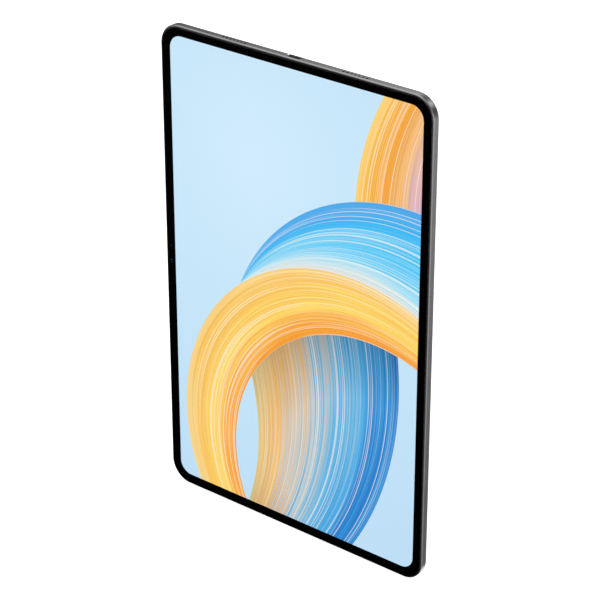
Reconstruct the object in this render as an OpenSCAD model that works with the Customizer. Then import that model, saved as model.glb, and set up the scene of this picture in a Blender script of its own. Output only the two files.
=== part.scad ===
// Tablet computer: a one-piece aluminium rear housing, a bonded front glass with its display,
// and the electronics that lie between them. Sizes are in millimetres.
// The sub-parts are drawn as the tablet lies on its back: X across, Y along, Z up through the glass.
// upright() then stands it on a short edge, with the origin in the middle of the flat rear face.

/* [Body] */
// Width across the two long side walls
body_w = 174.8; // [174.4:0.1:180]
// Height across the two short side walls
body_h = 272.2; // [271.8:0.1:278]
// Thickness from the rear face to the front of the glass
body_t = 6.4; // [6.4:0.1:7]
// Radius of the four corners in plan
corner_r = 12.2; // [11:0.1:14]
// Thickness of the side walls
wall_t = 2; // [1.8:0.1:2]
// Thickness of the rear wall
floor_t = 0.8; // [0.6:0.1:0.8]

/* [Side profile] */
// Width of the curve that runs into the rear face
rear_curve_w = 5.5; // [4.5:0.1:5.5]
// Height of the curve that runs into the rear face
rear_curve_t = 2.4; // [2.4:0.05:3.75]
// Width of the bright chamfer beside the glass
chamfer_w = 0.7; // [0.4:0.05:0.7]
// Height of the bright chamfer beside the glass
chamfer_t = 0.4; // [0.2:0.05:0.5]

/* [Display] */
// Width of the lit picture
screen_w = 162.9; // [161:0.1:163]
// Height of the lit picture
screen_h = 260.64; // [258:0.02:261]
// Corner radius of the lit picture
screen_r = 7.4; // [5:0.1:9]
// Thickness of the cover glass
glass_t = 0.6; // [0.5:0.05:0.6]
// Width of the rounded edge of the cover glass
glass_edge_w = 0.9; // [0.4:0.1:1.2]

/* [Grilles] */
// Slots in each speaker grille
slot_count = 7; // [5:2:7]
// Distance from slot to slot
slot_pitch = 2.43; // [2:0.01:2.5]
// Width of a slot
slot_w = 1.1; // [0.8:0.1:1.2]
// Length of the outermost slots
slot_tall = 2; // [1.6:0.1:2]
// Length of the middle slot
slot_short = 1.2; // [1.2:0.1:1.6]
// Distance of a grille's middle from the centre line
grille_x = 38.7; // [36:0.1:40]
// Radius of a microphone hole
mic_hole_r = 0.5; // [0.3:0.05:0.6]

/* [Charging port] */
// Inner width of the metal receptacle shell
port_w = 8.34; // [8.3:0.02:8.4]
// Inner height of the metal receptacle shell
port_t = 2.56; // [2.5:0.02:2.56]
// Sheet thickness of the receptacle shell
port_sheet = 0.1; // [0.08:0.01:0.1]
// Depth of the receptacle shell
port_depth = 7.3; // [7:0.1:7.5]

/* [Buttons] */
// Length of the power button
power_len = 14; // [10:0.5:16]
// Length of the volume rocker
volume_len = 22; // [18:0.5:24]
// Height of both buttons
button_t = 1.9; // [1.6:0.1:1.9]
// How far both buttons stand out of the wall
button_proud = 0.35; // [0.3:0.05:0.5]

/* [Rear camera] */
// Outer radius of the camera's metal trim ring
trim_r = 9.2; // [8.8:0.1:10]
// How far the trim ring stands out of the rear face
trim_proud = 1.1; // [1:0.1:1.4]
// Radius of the focusing lens barrel
barrel_r = 3.2; // [2.6:0.1:3.2]
// Radius of the flash window
flash_r = 1.95; // [1.5:0.05:2.2]

/* [Battery] */
// Width of one battery cell
cell_w = 74; // [60:1:74]
// Length of one battery cell
cell_len = 122; // [100:1:122]
// Thickness of one battery cell
cell_t = 3.4; // [2.8:0.1:3.4]

/* [Hidden] */
$fn = 48;
eps = 0.01;
through = 1;

// Heights of the layers, counted from the rear face to the front of the glass
glass_z = body_t - glass_t;
lip_z = body_t - 0.4;
ink_z = glass_z - 0.05;
seat_z = ink_z - 0.05;
sensor_top_z = ink_z - 0.12;
panel_top_z = sensor_top_z - 0.08;
support_top_z = panel_top_z - 0.3;
support_z = support_top_z - 0.1;
graphite_z = support_z - 0.05;

// Outlines of the front: gap beside the glass, panel rim beyond the lit picture
glass_gap = 0.05;
glass_w = body_w - 2 * (chamfer_w + 2 * glass_gap);
glass_h = body_h - 2 * (chamfer_w + 2 * glass_gap);
glass_r = corner_r - chamfer_w - 2 * glass_gap;
pocket_inset = chamfer_w + glass_gap;
panel_rim = 0.95;
panel_w = screen_w + 2 * panel_rim;
panel_h = screen_h + 2 * panel_rim;
panel_r = screen_r + panel_rim;

// Heights of what lies behind the display
slot_z = body_t - 1.98;
port_z = body_t - 2.7;
board_z = floor_t + 0.8;
board_t = 0.7;
board_top_z = board_z + board_t;
cell_z = floor_t + 0.2;

// Places of the pieces in plan
mic_x = -56.4;
side_mic_y = 24;
power_x = -66;
volume_y = -100;
camera_x = -70.5;
camera_y = 119;
flash_y = 104.5;
front_camera_x = -(body_w / 2 - 3.2);
light_sensor_y = 9;
cell_gap = 8;
cell_y = -98;
board_x = -50;
board_y = 34;
board_w = 120;
board_h = 50;
port_board_w = 30;
port_board_y = 112;
port_board_h = 19.5;
screw_spots = [[-46, 38], [66, 38], [-46, 80], [66, 80], [10, 80], [-12, 115], [12, 115]];
boss_r = 1.7;
screw_r = 0.55;
screw_head_r = 1.3;

inner_x = body_w / 2 - wall_t;
inner_y = body_h / 2 - wall_t;

// ---------- Shapes that several sub-parts share ----------

// Stands the tablet up: drawn Z becomes -Y, so the screen faces -Y and its long side is upright
module upright() rotate([90, 0, 0]) children();

// A block given by its lowest and highest corners
module block(low, high) translate(low) cube(high - low);

// Points [inset, height] of a quarter ellipse that rises from [w, z] to [0, z + t]
function rising_curve(w, t, z, steps) =
    [for (i = [0 : steps]) let (a = 90 * i / steps) [w * (1 - sin(a)), z + t * (1 - cos(a))]];

// Points [inset, height] of a quarter ellipse that leans in from [0, z] to [w, z + t]
function closing_curve(w, t, z, steps) =
    [for (i = [0 : steps]) let (a = 90 * i / steps) [w * (1 - cos(a)), z + t * sin(a)]];

// A rounded rectangle w by h whose side wall follows a list of [inset, height] points
module rim_solid(w, h, r, section) {
    low = section[0][1];
    high = section[len(section) - 1][1];
    outline = concat([for (p = section) [r - p[0], p[1]]], [[0, high], [0, low]]);
    core_x = w / 2 - r;
    core_y = h / 2 - r;
    block([-core_x, -core_y, low], [core_x, core_y, high]);
    for (q = [0 : 3]) {
        across = q % 2 == 0 ? core_x : core_y;
        along = q % 2 == 0 ? core_y : core_x;
        rotate([0, 0, 90 * q]) {
            translate([across, along, 0])
                rotate([90, 0, 0])
                    linear_extrude(2 * along) polygon(outline);
            translate([across, along, 0])
                rotate_extrude(angle = 90) polygon(outline);
        }
    }
}

// A flat rounded plate from height z0 to height z1
module plate(w, h, r, z0, z1) rim_solid(w, h, r, [[0, z0], [0, z1]]);

// A flat bar with round ends, len long in X and t high in Z, reaching along +Y by depth
module capsule(len, t, depth) {
    for (side = [-1, 1])
        translate([side * (len - t) / 2, 0, 0])
            rotate([-90, 0, 0]) cylinder(d = t, h = depth);
    block([-(len - t) / 2, 0, -t / 2], [(len - t) / 2, depth, t / 2]);
}

// A receptacle outline: a bar with corners of radius r, w wide and t high, reaching along +Y
module port_bar(w, t, r, depth) {
    for (side = [-1, 1], level = [-1, 1])
        translate([side * (w / 2 - r), 0, level * (t / 2 - r)])
            rotate([-90, 0, 0]) cylinder(r = r, h = depth);
    block([-w / 2, 0, -(t / 2 - r)], [w / 2, depth, t / 2 - r]);
    block([-(w / 2 - r), 0, -t / 2], [w / 2 - r, depth, t / 2]);
}

// One grille: slots that grow from the middle of the row towards both ends
module grille_slots() {
    middle = (slot_count - 1) / 2;
    for (i = [-middle : middle]) {
        tall = slot_short + (slot_tall - slot_short) * abs(i) / middle;
        translate([i * slot_pitch, 0, 0])
            rotate([0, 90, 0]) capsule(tall, slot_w, wall_t + 2 * through);
    }
}

// ---------- Rear housing ----------

housing_section = concat(rising_curve(rear_curve_w, rear_curve_t, 0, 10),
    [[0, lip_z - chamfer_t], [chamfer_w, lip_z]]);
cavity_curve_w = 4;
cavity_curve_t = 2.4;
cavity_section = concat(rising_curve(cavity_curve_w, cavity_curve_t, floor_t, 6),
    [[0, seat_z + eps]]);
button_gap = 0.15;
port_corner_r = port_t / 2 - eps;
port_outer_w = port_w + 2 * port_sheet;
port_outer_t = port_t + 2 * port_sheet;
port_fit = 0.06;
port_mouth_y = body_h / 2 - 0.6;
trim_sleeve_r = trim_r - 0.8;
trim_fit = 0.05;
ring_seat_depth = 0.3;

// Everything that is cut through the side walls
module wall_openings() {
    start = inner_y - through;
    for (end = [0, 180], side = [-1, 1])
        rotate([0, 0, end])
            translate([side * grille_x, start, slot_z]) grille_slots();
    translate([mic_x, start, slot_z])
        rotate([-90, 0, 0]) cylinder(r = mic_hole_r, h = wall_t + 2 * through);
    translate([-inner_x + through, side_mic_y, slot_z])
        rotate([0, -90, 0]) cylinder(r = mic_hole_r, h = wall_t + 2 * through);
    translate([0, start, port_z])
        port_bar(port_outer_w + 2 * port_fit, port_outer_t + 2 * port_fit,
            port_corner_r, wall_t + 2 * through);
    translate([power_x, -body_h / 2 - through, slot_z])
        capsule(power_len + 2 * button_gap, button_t + 2 * button_gap, wall_t + 2 * through);
    translate([-inner_x + through, volume_y, slot_z])
        rotate([0, 0, 90])
            capsule(volume_len + 2 * button_gap, button_t + 2 * button_gap, wall_t + 2 * through);
}

// Low posts on the floor that take the board screws
module screw_bosses() {
    for (spot = screw_spots)
        translate([spot[0], spot[1], floor_t - eps])
            difference() {
                cylinder(r = boss_r, h = board_z - floor_t + eps);
                translate([0, 0, 0.15]) cylinder(r = screw_r + 0.05, h = board_z);
            }
}

module rear_housing() color("#3b3d40") upright() {
    difference() {
        rim_solid(body_w, body_h, corner_r, housing_section);
        rim_solid(body_w - 2 * wall_t, body_h - 2 * wall_t, corner_r - wall_t, cavity_section);
        plate(body_w - 2 * pocket_inset, body_h - 2 * pocket_inset, corner_r - pocket_inset,
            seat_z, body_t);
        wall_openings();
        translate([camera_x, camera_y, -through])
            cylinder(r = trim_sleeve_r + trim_fit, h = floor_t + 2 * through);
        translate([camera_x, camera_y, -through])
            cylinder(r = trim_r + trim_fit, h = ring_seat_depth + through);
        translate([camera_x, flash_y, -through])
            cylinder(r = flash_r + trim_fit, h = floor_t + 2 * through);
    }
    screw_bosses();
}

// ---------- Front glass and display ----------

module cover_glass() color("#8fa0a8", 0.35) upright()
    rim_solid(glass_w, glass_h, glass_r,
        concat([[0, glass_z]], closing_curve(glass_edge_w, 0.35, body_t - 0.35, 6)));

module glass_adhesive() color("#151515") upright()
    difference() {
        plate(body_w - 2 * (pocket_inset + 0.1), body_h - 2 * (pocket_inset + 0.1),
            corner_r - pocket_inset - 0.1, seat_z, ink_z);
        plate(2 * inner_x + 0.1, 2 * inner_y + 0.1, corner_r - wall_t, seat_z - through, body_t);
    }

camera_window_r = 1.3;
sensor_window_r = 0.6;

module ink_border() color("#050506") upright()
    difference() {
        plate(glass_w - 0.2, glass_h - 0.2, glass_r - 0.1, ink_z, glass_z);
        plate(screen_w, screen_h, screen_r, ink_z - through, body_t);
        translate([front_camera_x, 0, ink_z - through])
            cylinder(r = camera_window_r, h = 2 * through);
        translate([front_camera_x, light_sensor_y, ink_z - through])
            cylinder(r = sensor_window_r, h = 2 * through);
    }

module optical_adhesive() color("#dfe8ee", 0.4) upright()
    plate(panel_w, panel_h, panel_r, sensor_top_z, ink_z);

module touch_sensor() color("#b9c6cf", 0.5) upright()
    plate(panel_w, panel_h, panel_r, panel_top_z, sensor_top_z);

module display_panel() color("#a9d4f0") upright()
    plate(panel_w, panel_h, panel_r, support_top_z, panel_top_z);

module panel_support() color("#8c8f92") upright()
    plate(panel_w - 0.4, panel_h - 0.4, panel_r - 0.2, support_z, support_top_z);

module graphite_sheet() color("#2a2b2d") upright()
    translate([0, -8, 0]) plate(150, 214, 3, graphite_z, support_z);

// ---------- Display wiring, at the lower short edge ----------

flex_t = 0.12;
bend_y = -(panel_h / 2 + 1.1);
bend_low_z = support_z - 0.3;

module display_flex() color("#8a5a1e") upright() {
    half = 16;
    block([-half, bend_y, panel_top_z - 0.22], [half, -panel_h / 2, panel_top_z - 0.1]);
    block([-half, bend_y - flex_t, bend_low_z], [half, bend_y, panel_top_z - 0.1]);
    block([-half, bend_y, bend_low_z], [half, bend_y + 22, bend_low_z + flex_t]);
}

module display_driver() color("#1b1b1d") upright()
    block([-9, bend_y + 9, bend_low_z - 0.45], [9, bend_y + 11.4, bend_low_z]);

module display_cable() color("#8a5a1e") upright()
    block([-8, bend_y + 14, bend_low_z - flex_t], [8, board_y + 8, bend_low_z]);

// ---------- Front camera and light sensor, in the long left border ----------

front_nose_r = 1.15;
front_camera_top_z = ink_z - 0.55;

module front_camera() color("#17181a") upright() {
    difference() {
        translate([front_camera_x, 0, 3.8])
            cylinder(r = front_nose_r, h = ink_z - 0.1 - 3.8);
        translate([front_camera_x, 0, front_camera_top_z])
            cylinder(r = front_nose_r - 0.25, h = 1);
    }
    block([front_camera_x - 0.7, -3, 2.6], [front_camera_x + 5.2, 3, 3.9]);
}

module front_camera_lens() color("#24304a", 0.6) upright()
    translate([front_camera_x, 0, front_camera_top_z])
        cylinder(r = front_nose_r - 0.3, h = 0.35);

module front_camera_flex() color("#8a5a1e") upright() {
    tab_x = front_camera_x + 5.2;
    low = cell_z + cell_t + 0.05;
    block([tab_x, -2, 2.6], [tab_x + flex_t, 2, low + flex_t]);
    block([tab_x, -2, low], [board_x + 4, 2, low + flex_t]);
    block([board_x - 2, 2, low], [board_x + 4, board_y + 6, low + flex_t]);
}

module light_sensor() color("#2b2d30") upright()
    block([front_camera_x - 0.8, light_sensor_y - 1.2, ink_z - 0.8],
        [front_camera_x + 0.8, light_sensor_y + 1.2, ink_z - 0.1]);

// ---------- Mainboard ----------

module board_holes(spots) {
    for (spot = spots)
        translate([spot[0], spot[1], board_z - through])
            cylinder(r = screw_r + 0.2, h = board_t + 2 * through);
}

module mainboard() color("#0f3b2a") upright()
    difference() {
        union() {
            block([board_x, board_y, board_z],
                [board_x + board_w, board_y + board_h, board_top_z]);
            block([board_x + 34, board_y + board_h, board_z],
                [board_x + 70, board_y + board_h + 12, board_top_z]);
        }
        board_holes(screw_spots);
    }

// A thin pressed box over the chips, open below
module shield(low, size) {
    sheet = 0.15;
    height = 1.5;
    difference() {
        translate(low) cube([size[0], size[1], height]);
        translate(low + [sheet, sheet, -through])
            cube([size[0] - 2 * sheet, size[1] - 2 * sheet, height - sheet + through]);
    }
}

shield_left = [board_x + 8, board_y + 8];
shield_right = [board_x + 62, board_y + 8];

module shield_cans() color("#b9bcc0") upright() {
    shield([shield_left[0], shield_left[1], board_top_z], [46, 32]);
    shield([shield_right[0], shield_right[1], board_top_z], [40, 32]);
}

module processor() color("#1d1e20") upright()
    block([shield_left[0] + 6, shield_left[1] + 8, board_top_z],
        [shield_left[0] + 20, shield_left[1] + 22, board_top_z + 1]);

module memory_chips() color("#1d1e20") upright() {
    for (i = [0 : 1])
        block([shield_left[0] + 24 + 11 * i - i, shield_left[1] + 9, board_top_z],
            [shield_left[0] + 33 + 10 * i, shield_left[1] + 21, board_top_z + 0.9]);
    for (i = [0 : 2])
        block([shield_right[0] + 4 + 12 * i, shield_right[1] + 10, board_top_z],
            [shield_right[0] + 12 + 12 * i, shield_right[1] + 18, board_top_z + 0.8]);
}

module board_connectors() color("#d8cfae") upright()
    for (i = [0 : 5])
        block([board_x + 9 + 19 * i, board_y + 1.5, board_top_z],
            [board_x + 18 + 19 * i, board_y + 4.5, board_top_z + 0.9]);

module board_screws() color("#c3c6c9") upright()
    for (spot = screw_spots)
        translate([spot[0], spot[1], 0]) {
            translate([0, 0, floor_t + 0.25])
                cylinder(r = screw_r, h = board_top_z - floor_t);
            difference() {
                translate([0, 0, board_top_z]) cylinder(r = screw_head_r, h = 0.5);
                for (turn = [0, 90])
                    rotate([0, 0, turn])
                        block([-0.8, -0.12, board_top_z + 0.28], [0.8, 0.12, board_top_z + 1]);
            }
        }

// ---------- Battery ----------

module battery_cell(side) {
    x0 = side < 0 ? -cell_gap / 2 - cell_w : cell_gap / 2;
    translate([x0 + cell_w / 2, cell_y + cell_len / 2, 0])
        plate(cell_w, cell_len, 1.5, cell_z, cell_z + cell_t);
}

module battery_cell_left() color("#26282b") upright() battery_cell(-1);

module battery_cell_right() color("#26282b") upright() battery_cell(1);

module battery_tape() color("#e9e9e4") upright()
    for (side = [-1, 1], i = [0 : 1]) {
        x = side * (cell_gap / 2 + cell_w * (0.3 + 0.4 * i));
        block([x - 6, cell_y + 10, floor_t], [x + 6, cell_y + cell_len - 10, cell_z]);
    }

module battery_board() color("#0f3b2a") upright()
    block([-34, cell_y + cell_len + 0.4, board_z], [34, board_y - 3, board_top_z]);

module battery_flex() color("#8a5a1e") upright()
    block([-7, board_y - 6, board_top_z], [7, board_y + 1.4, board_top_z + flex_t]);

// ---------- Charging port, in the upper short edge ----------

port_back_y = port_mouth_y - port_depth;

module port_shell() color("#bfc3c6") upright()
    translate([0, port_back_y, port_z])
        difference() {
            port_bar(port_outer_w, port_outer_t, port_corner_r + port_sheet / 2, port_depth);
            translate([0, 0.3, 0]) port_bar(port_w, port_t, port_corner_r, port_depth);
        }

tongue_w = 6.69;
tongue_t = 0.7;
tongue_tip_y = port_mouth_y - 1.4;

module port_tongue() color("#1a1a1c") upright() {
    block([-tongue_w / 2, port_back_y + 0.35, port_z - tongue_t / 2],
        [tongue_w / 2, tongue_tip_y, port_z + tongue_t / 2]);
    block([-tongue_w / 2, port_back_y + 0.35, port_z - 1.1],
        [tongue_w / 2, port_back_y + 1.4, port_z + 1.1]);
}

module port_contacts() color("#d6ae55") upright()
    for (level = [-1, 1], i = [0 : 11])
        translate([(i - 5.5) * 0.5, 0, port_z + level * (tongue_t / 2 + 0.025)])
            block([-0.125, port_back_y + 2, -0.025], [0.125, tongue_tip_y - 0.4, 0.025]);

module port_gasket() color("#1c1c1c") upright()
    translate([0, inner_y - 1.5, port_z])
        difference() {
            port_bar(port_outer_w + 1.1, port_outer_t + 0.9, 1.7, 0.7);
            translate([0, -through, 0])
                port_bar(port_outer_w + 0.04, port_outer_t + 0.04, port_corner_r, 3);
        }

module port_board() color("#0f3b2a") upright()
    difference() {
        block([-port_board_w / 2, port_board_y, board_z],
            [port_board_w / 2, port_board_y + port_board_h, board_top_z]);
        board_holes(screw_spots);
    }

module port_flex() color("#8a5a1e") upright()
    block([-5, board_y + board_h + 2, board_top_z],
        [5, port_board_y + 6, board_top_z + flex_t]);

// ---------- Speakers and microphones ----------

box_low = 18;
box_high = 52;
box_inner_y = 117;
box_outer_y = inner_y - 0.5;
box_z = floor_t + 0.15;
box_top_z = support_z - 0.25;
driver_top_z = box_top_z - 0.05;

// One speaker box: a moulded shell, its lower outer edge leaning in to clear the housing's curve
module speaker_box() {
    sheet = 0.6;
    slope_y = box_outer_y - 2.6;
    slope_z = box_z + 2.15;
    difference() {
        translate([box_low, 0, 0])
            rotate([90, 0, 90])
                linear_extrude(box_high - box_low)
                    polygon([[box_inner_y, box_z], [slope_y, box_z], [box_outer_y, slope_z],
                        [box_outer_y, box_top_z], [box_inner_y, box_top_z]]);
        block([box_low + sheet, box_inner_y + sheet, box_z + sheet],
            [box_high - sheet, slope_y - sheet, box_top_z - sheet]);
        block([box_low + 4, box_inner_y + 2, box_top_z - 2],
            [box_high - 4, slope_y - 1, box_top_z + 1]);
        block([grille_x - 9, slope_y - 2, slot_z - 0.7],
            [grille_x + 9, box_outer_y + 1, slot_z + 0.3]);
    }
}

module speaker_pair() {
    speaker_box();
    mirror([1, 0, 0]) speaker_box();
}

module speaker_boxes_top() color("#222326") upright() speaker_pair();

module speaker_boxes_bottom() color("#222326") upright() mirror([0, 1, 0]) speaker_pair();

module speaker_drivers() color("#74777a") upright()
    for (end = [0, 180], side = [-1, 1], half = [-1, 1])
        rotate([0, 0, end])
            translate([side * (box_low + box_high) / 2 + half * 6.4, box_inner_y + 6.5, 0]) {
                block([-5.9, -4, driver_top_z - 1.6], [5.9, 4, driver_top_z - 0.4]);
                translate([0, 0, driver_top_z - 0.4]) cylinder(r = 3.4, h = 0.3);
            }

module speaker_meshes() color("#101112") upright()
    for (end = [0, 180], side = [-1, 1])
        rotate([0, 0, end])
            translate([side * grille_x, inner_y - 0.2, slot_z])
                block([-9.4, 0, -1.25], [9.4, 0.15, 1.15]);

module microphones() color("#b5a36a") upright() {
    block([mic_x - 1.8, inner_y - 1.3, slot_z - 1.1], [mic_x + 1.8, inner_y - 0.1, slot_z + 0.6]);
    block([-inner_x + 0.1, side_mic_y - 1.8, slot_z - 1.1],
        [-inner_x + 1.3, side_mic_y + 1.8, slot_z + 0.6]);
}

// ---------- Power button, in the lower short edge ----------

flange_t = 0.6;
flange_low = slot_z - 1.05;
flange_high = slot_z + 1.1;
power_travel = 0.25;
power_face_y = -(body_h / 2 + button_proud);
power_flange_y = -inner_y + 0.05;
power_stem_y = power_flange_y + flange_t + 0.55;

module power_button() color("#44464a") upright() {
    translate([power_x, power_face_y, slot_z])
        capsule(power_len, button_t, power_flange_y - power_face_y + eps);
    block([power_x - power_len / 2 - 1.2, power_flange_y, flange_low],
        [power_x + power_len / 2 + 1.2, power_flange_y + flange_t, flange_high]);
    block([power_x - 1.2, power_flange_y + flange_t - eps, slot_z - 0.8],
        [power_x + 1.2, power_stem_y, slot_z + 0.8]);
}

module power_switch() color("#cfd2d4") upright() {
    dome_y = power_stem_y + power_travel + 0.05;
    translate([power_x, dome_y, slot_z])
        rotate([-90, 0, 0]) cylinder(r = 0.8, h = 0.35);
    block([power_x - 2, dome_y + 0.3, slot_z - 1.2], [power_x + 2, dome_y + 1.1, slot_z + 0.6]);
}

module power_bracket() color("#9a9da0") upright() {
    back_y = power_stem_y + power_travel + 1.15;
    block([power_x - 9, back_y, 1.3], [power_x + 9, back_y + 0.3, support_z - 0.2]);
    block([power_x - 9, back_y, 1.3], [power_x + 9, back_y + 4.5, 1.5]);
}

// ---------- Volume rocker, in the long left edge ----------

rocker_face_x = -(body_w / 2 + button_proud);
rocker_flange_x = -inner_x + 0.35;
rocker_back_x = rocker_flange_x + flange_t;
rocker_stem = 0.35;
rocker_stem_y = 8;
rocker_pivot_x = rocker_back_x + 0.05;
volume_base_x = rocker_back_x + rocker_stem + 0.65;

module volume_rocker() color("#44464a") upright() {
    translate([rocker_flange_x + eps, volume_y, slot_z])
        rotate([0, 0, 90]) capsule(volume_len, button_t, rocker_flange_x + eps - rocker_face_x);
    block([rocker_flange_x, volume_y - volume_len / 2 - 1.3, flange_low],
        [rocker_back_x, volume_y + volume_len / 2 + 1.3, flange_high]);
    for (side = [-1, 1])
        block([rocker_back_x - eps, volume_y + side * rocker_stem_y - 1, slot_z - 0.8],
            [rocker_back_x + rocker_stem, volume_y + side * rocker_stem_y + 1, slot_z + 0.8]);
}

module volume_switches() color("#cfd2d4") upright()
    for (side = [-1, 1])
        translate([volume_base_x, volume_y + side * rocker_stem_y, slot_z]) {
            translate([-0.3, 0, 0]) rotate([0, 90, 0]) cylinder(r = 0.8, h = 0.35);
            block([0, -2, -1.2], [0.75, 2, 0.6]);
        }

module volume_bracket() color("#9a9da0") upright() {
    plate_x = volume_base_x + 0.8;
    block([plate_x, volume_y - 13, 1.7], [plate_x + 0.3, volume_y + 13, support_z - 0.2]);
    block([rocker_pivot_x, volume_y - 0.5, slot_z - 0.8], [plate_x + eps, volume_y + 0.5, slot_z + 0.6]);
}

module key_flex() color("#8a5a1e") upright() {
    edge_x = -(cell_gap / 2 + cell_w) - 2.6;
    low = floor_t + 0.1;
    block([edge_x, -127, low], [power_x + 8, -125, low + flex_t]);
    block([edge_x, -125, low], [edge_x + 2, board_y + 12, low + flex_t]);
    block([edge_x, board_y + 12, low], [board_x + 4, board_y + 14, low + flex_t]);
}

// ---------- Rear camera, behind the upper left corner ----------

window_r = trim_r - 1.95;
trim_bore_r = window_r - 1.05;
window_z = -trim_proud + 0.15;
window_t = 0.6;
barrel_z = 0.35;
barrel_len = 3.5;
barrel_fit = 0.2;
module_z = 1.3;

module camera_trim() color("#2c2e31") upright()
    translate([camera_x, camera_y, 0])
        difference() {
            union() {
                translate([0, 0, -trim_proud])
                    cylinder(r = trim_r, h = trim_proud + ring_seat_depth);
                translate([0, 0, ring_seat_depth - eps])
                    cylinder(r = trim_sleeve_r, h = floor_t + 0.4 - ring_seat_depth);
            }
            translate([0, 0, -trim_proud - through])
                cylinder(r = window_r + trim_fit, h = through + 0.15 + window_t);
            translate([0, 0, -trim_proud]) cylinder(r = trim_bore_r, h = 4);
        }

module camera_window() color("#1b2733", 0.5) upright()
    translate([camera_x, camera_y, window_z]) cylinder(r = window_r, h = window_t);

module camera_mask() color("#060607") upright()
    translate([camera_x, camera_y, window_z + window_t])
        difference() {
            cylinder(r = trim_bore_r - trim_fit, h = 0.05);
            translate([0, 0, -through]) cylinder(r = barrel_r - 0.2, h = 3 * through);
        }

module camera_module() color("#26272a") upright()
    translate([camera_x, camera_y, 0])
        difference() {
            block([-5, -5, module_z], [5, 5, 4.7]);
            translate([0, 0, module_z - through])
                cylinder(r = barrel_r + barrel_fit, h = barrel_len + through - 0.7);
        }

module camera_sensor() color("#0f3b2a") upright()
    translate([camera_x, camera_y, 0]) block([-5.5, -5.5, 4.72], [5.5, 5.5, 4.95]);

module camera_flex() color("#8a5a1e") upright() {
    low = 4.6;
    block([camera_x - 3, board_y + 30, low], [camera_x + 3, camera_y - 5.6, low + flex_t]);
    block([camera_x + 3, board_y + 30, low], [board_x + 5, board_y + 36, low + flex_t]);
}

module focus_barrel() color("#101113") upright()
    translate([camera_x, camera_y, barrel_z])
        difference() {
            cylinder(r = barrel_r, h = barrel_len);
            translate([0, 0, -through]) cylinder(r = barrel_r - 0.9, h = through + 0.7);
            translate([0, 0, 0.5]) cylinder(r = 1.2, h = barrel_len);
        }

module camera_lens() color("#31405e", 0.6) upright()
    translate([camera_x, camera_y, barrel_z + 0.15]) cylinder(r = barrel_r - 0.95, h = 0.5);

module flash_lens() color("#f0ead2") upright()
    translate([camera_x, flash_y, 0]) {
        translate([0, 0, 0.02]) cylinder(r = flash_r, h = floor_t);
        translate([0, 0, floor_t + eps]) cylinder(r = flash_r + 0.7, h = 0.25);
    }

module flash_led() color("#e8d76a") upright()
    translate([camera_x, flash_y, 0]) block([-1, -1, floor_t + 0.3], [1, 1, floor_t + 0.7]);

// ---------- Radio and magnets ----------

module antennas() color("#c79a3b") upright()
    for (end = [-1, 1])
        translate([69, end * 113, 0]) block([-11, -13, 1.3], [9, 13, 1.5]);

module antenna_cables() color("#1a1a1a") upright() {
    cable_r = 0.4;
    translate([66, board_y + board_h - 2, board_top_z + cable_r])
        rotate([-90, 0, 0]) cylinder(r = cable_r, h = 20);
    translate([80.2, -98, 2])
        rotate([-90, 0, 0]) cylinder(r = cable_r, h = 138);
}

module edge_magnets() color("#a4a7aa") upright()
    for (i = [-1.5 : 1.5])
        translate([inner_x, 18 * i, slot_z]) block([-2.7, -7, -1.2], [-0.3, 7, 0.5]);

rear_housing();
cover_glass();
glass_adhesive();
ink_border();
optical_adhesive();
touch_sensor();
display_panel();
panel_support();
graphite_sheet();
display_flex();
display_driver();
display_cable();
front_camera();
front_camera_lens();
front_camera_flex();
light_sensor();
mainboard();
shield_cans();
processor();
memory_chips();
board_connectors();
board_screws();
battery_cell_left();
battery_cell_right();
battery_tape();
battery_board();
battery_flex();
port_shell();
port_tongue();
port_contacts();
port_gasket();
port_board();
port_flex();
speaker_boxes_top();
speaker_boxes_bottom();
speaker_drivers();
speaker_meshes();
microphones();
power_button();
power_switch();
power_bracket();
volume_rocker();
volume_switches();
volume_bracket();
key_flex();
camera_trim();
camera_window();
camera_mask();
camera_module();
camera_sensor();
camera_flex();
focus_barrel();
camera_lens();
flash_lens();
flash_led();
antennas();
antenna_cables();
edge_magnets();
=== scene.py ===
import math

import bpy
import numpy as np
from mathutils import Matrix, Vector


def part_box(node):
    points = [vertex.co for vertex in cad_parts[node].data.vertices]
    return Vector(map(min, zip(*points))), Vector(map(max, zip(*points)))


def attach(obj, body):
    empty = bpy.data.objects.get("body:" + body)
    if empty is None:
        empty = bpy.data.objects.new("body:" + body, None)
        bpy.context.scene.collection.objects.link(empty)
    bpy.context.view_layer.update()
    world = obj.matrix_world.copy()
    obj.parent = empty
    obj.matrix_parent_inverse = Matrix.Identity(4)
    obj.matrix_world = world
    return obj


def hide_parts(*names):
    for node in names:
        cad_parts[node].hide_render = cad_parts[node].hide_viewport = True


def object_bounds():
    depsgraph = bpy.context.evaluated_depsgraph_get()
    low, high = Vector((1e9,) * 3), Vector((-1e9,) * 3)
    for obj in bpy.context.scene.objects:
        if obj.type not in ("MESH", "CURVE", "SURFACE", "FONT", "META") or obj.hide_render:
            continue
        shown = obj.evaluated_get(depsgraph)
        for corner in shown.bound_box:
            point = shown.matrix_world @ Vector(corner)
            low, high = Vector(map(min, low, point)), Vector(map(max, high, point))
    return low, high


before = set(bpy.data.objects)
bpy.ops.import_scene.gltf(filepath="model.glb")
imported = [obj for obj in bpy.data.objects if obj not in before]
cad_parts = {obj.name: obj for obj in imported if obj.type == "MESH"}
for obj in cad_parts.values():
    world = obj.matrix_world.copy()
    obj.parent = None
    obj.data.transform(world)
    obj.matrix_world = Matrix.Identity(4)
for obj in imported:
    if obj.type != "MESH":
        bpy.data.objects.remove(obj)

cad_low, cad_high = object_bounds()
MM = 0.001

# ---- Rear housing ----
# One tray milled from an aluminium plate, bead-blasted and anodised dark grey, then cut once more
# beside the glass, which leaves a bright chamfer. Everything else is fixed inside it.


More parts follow.
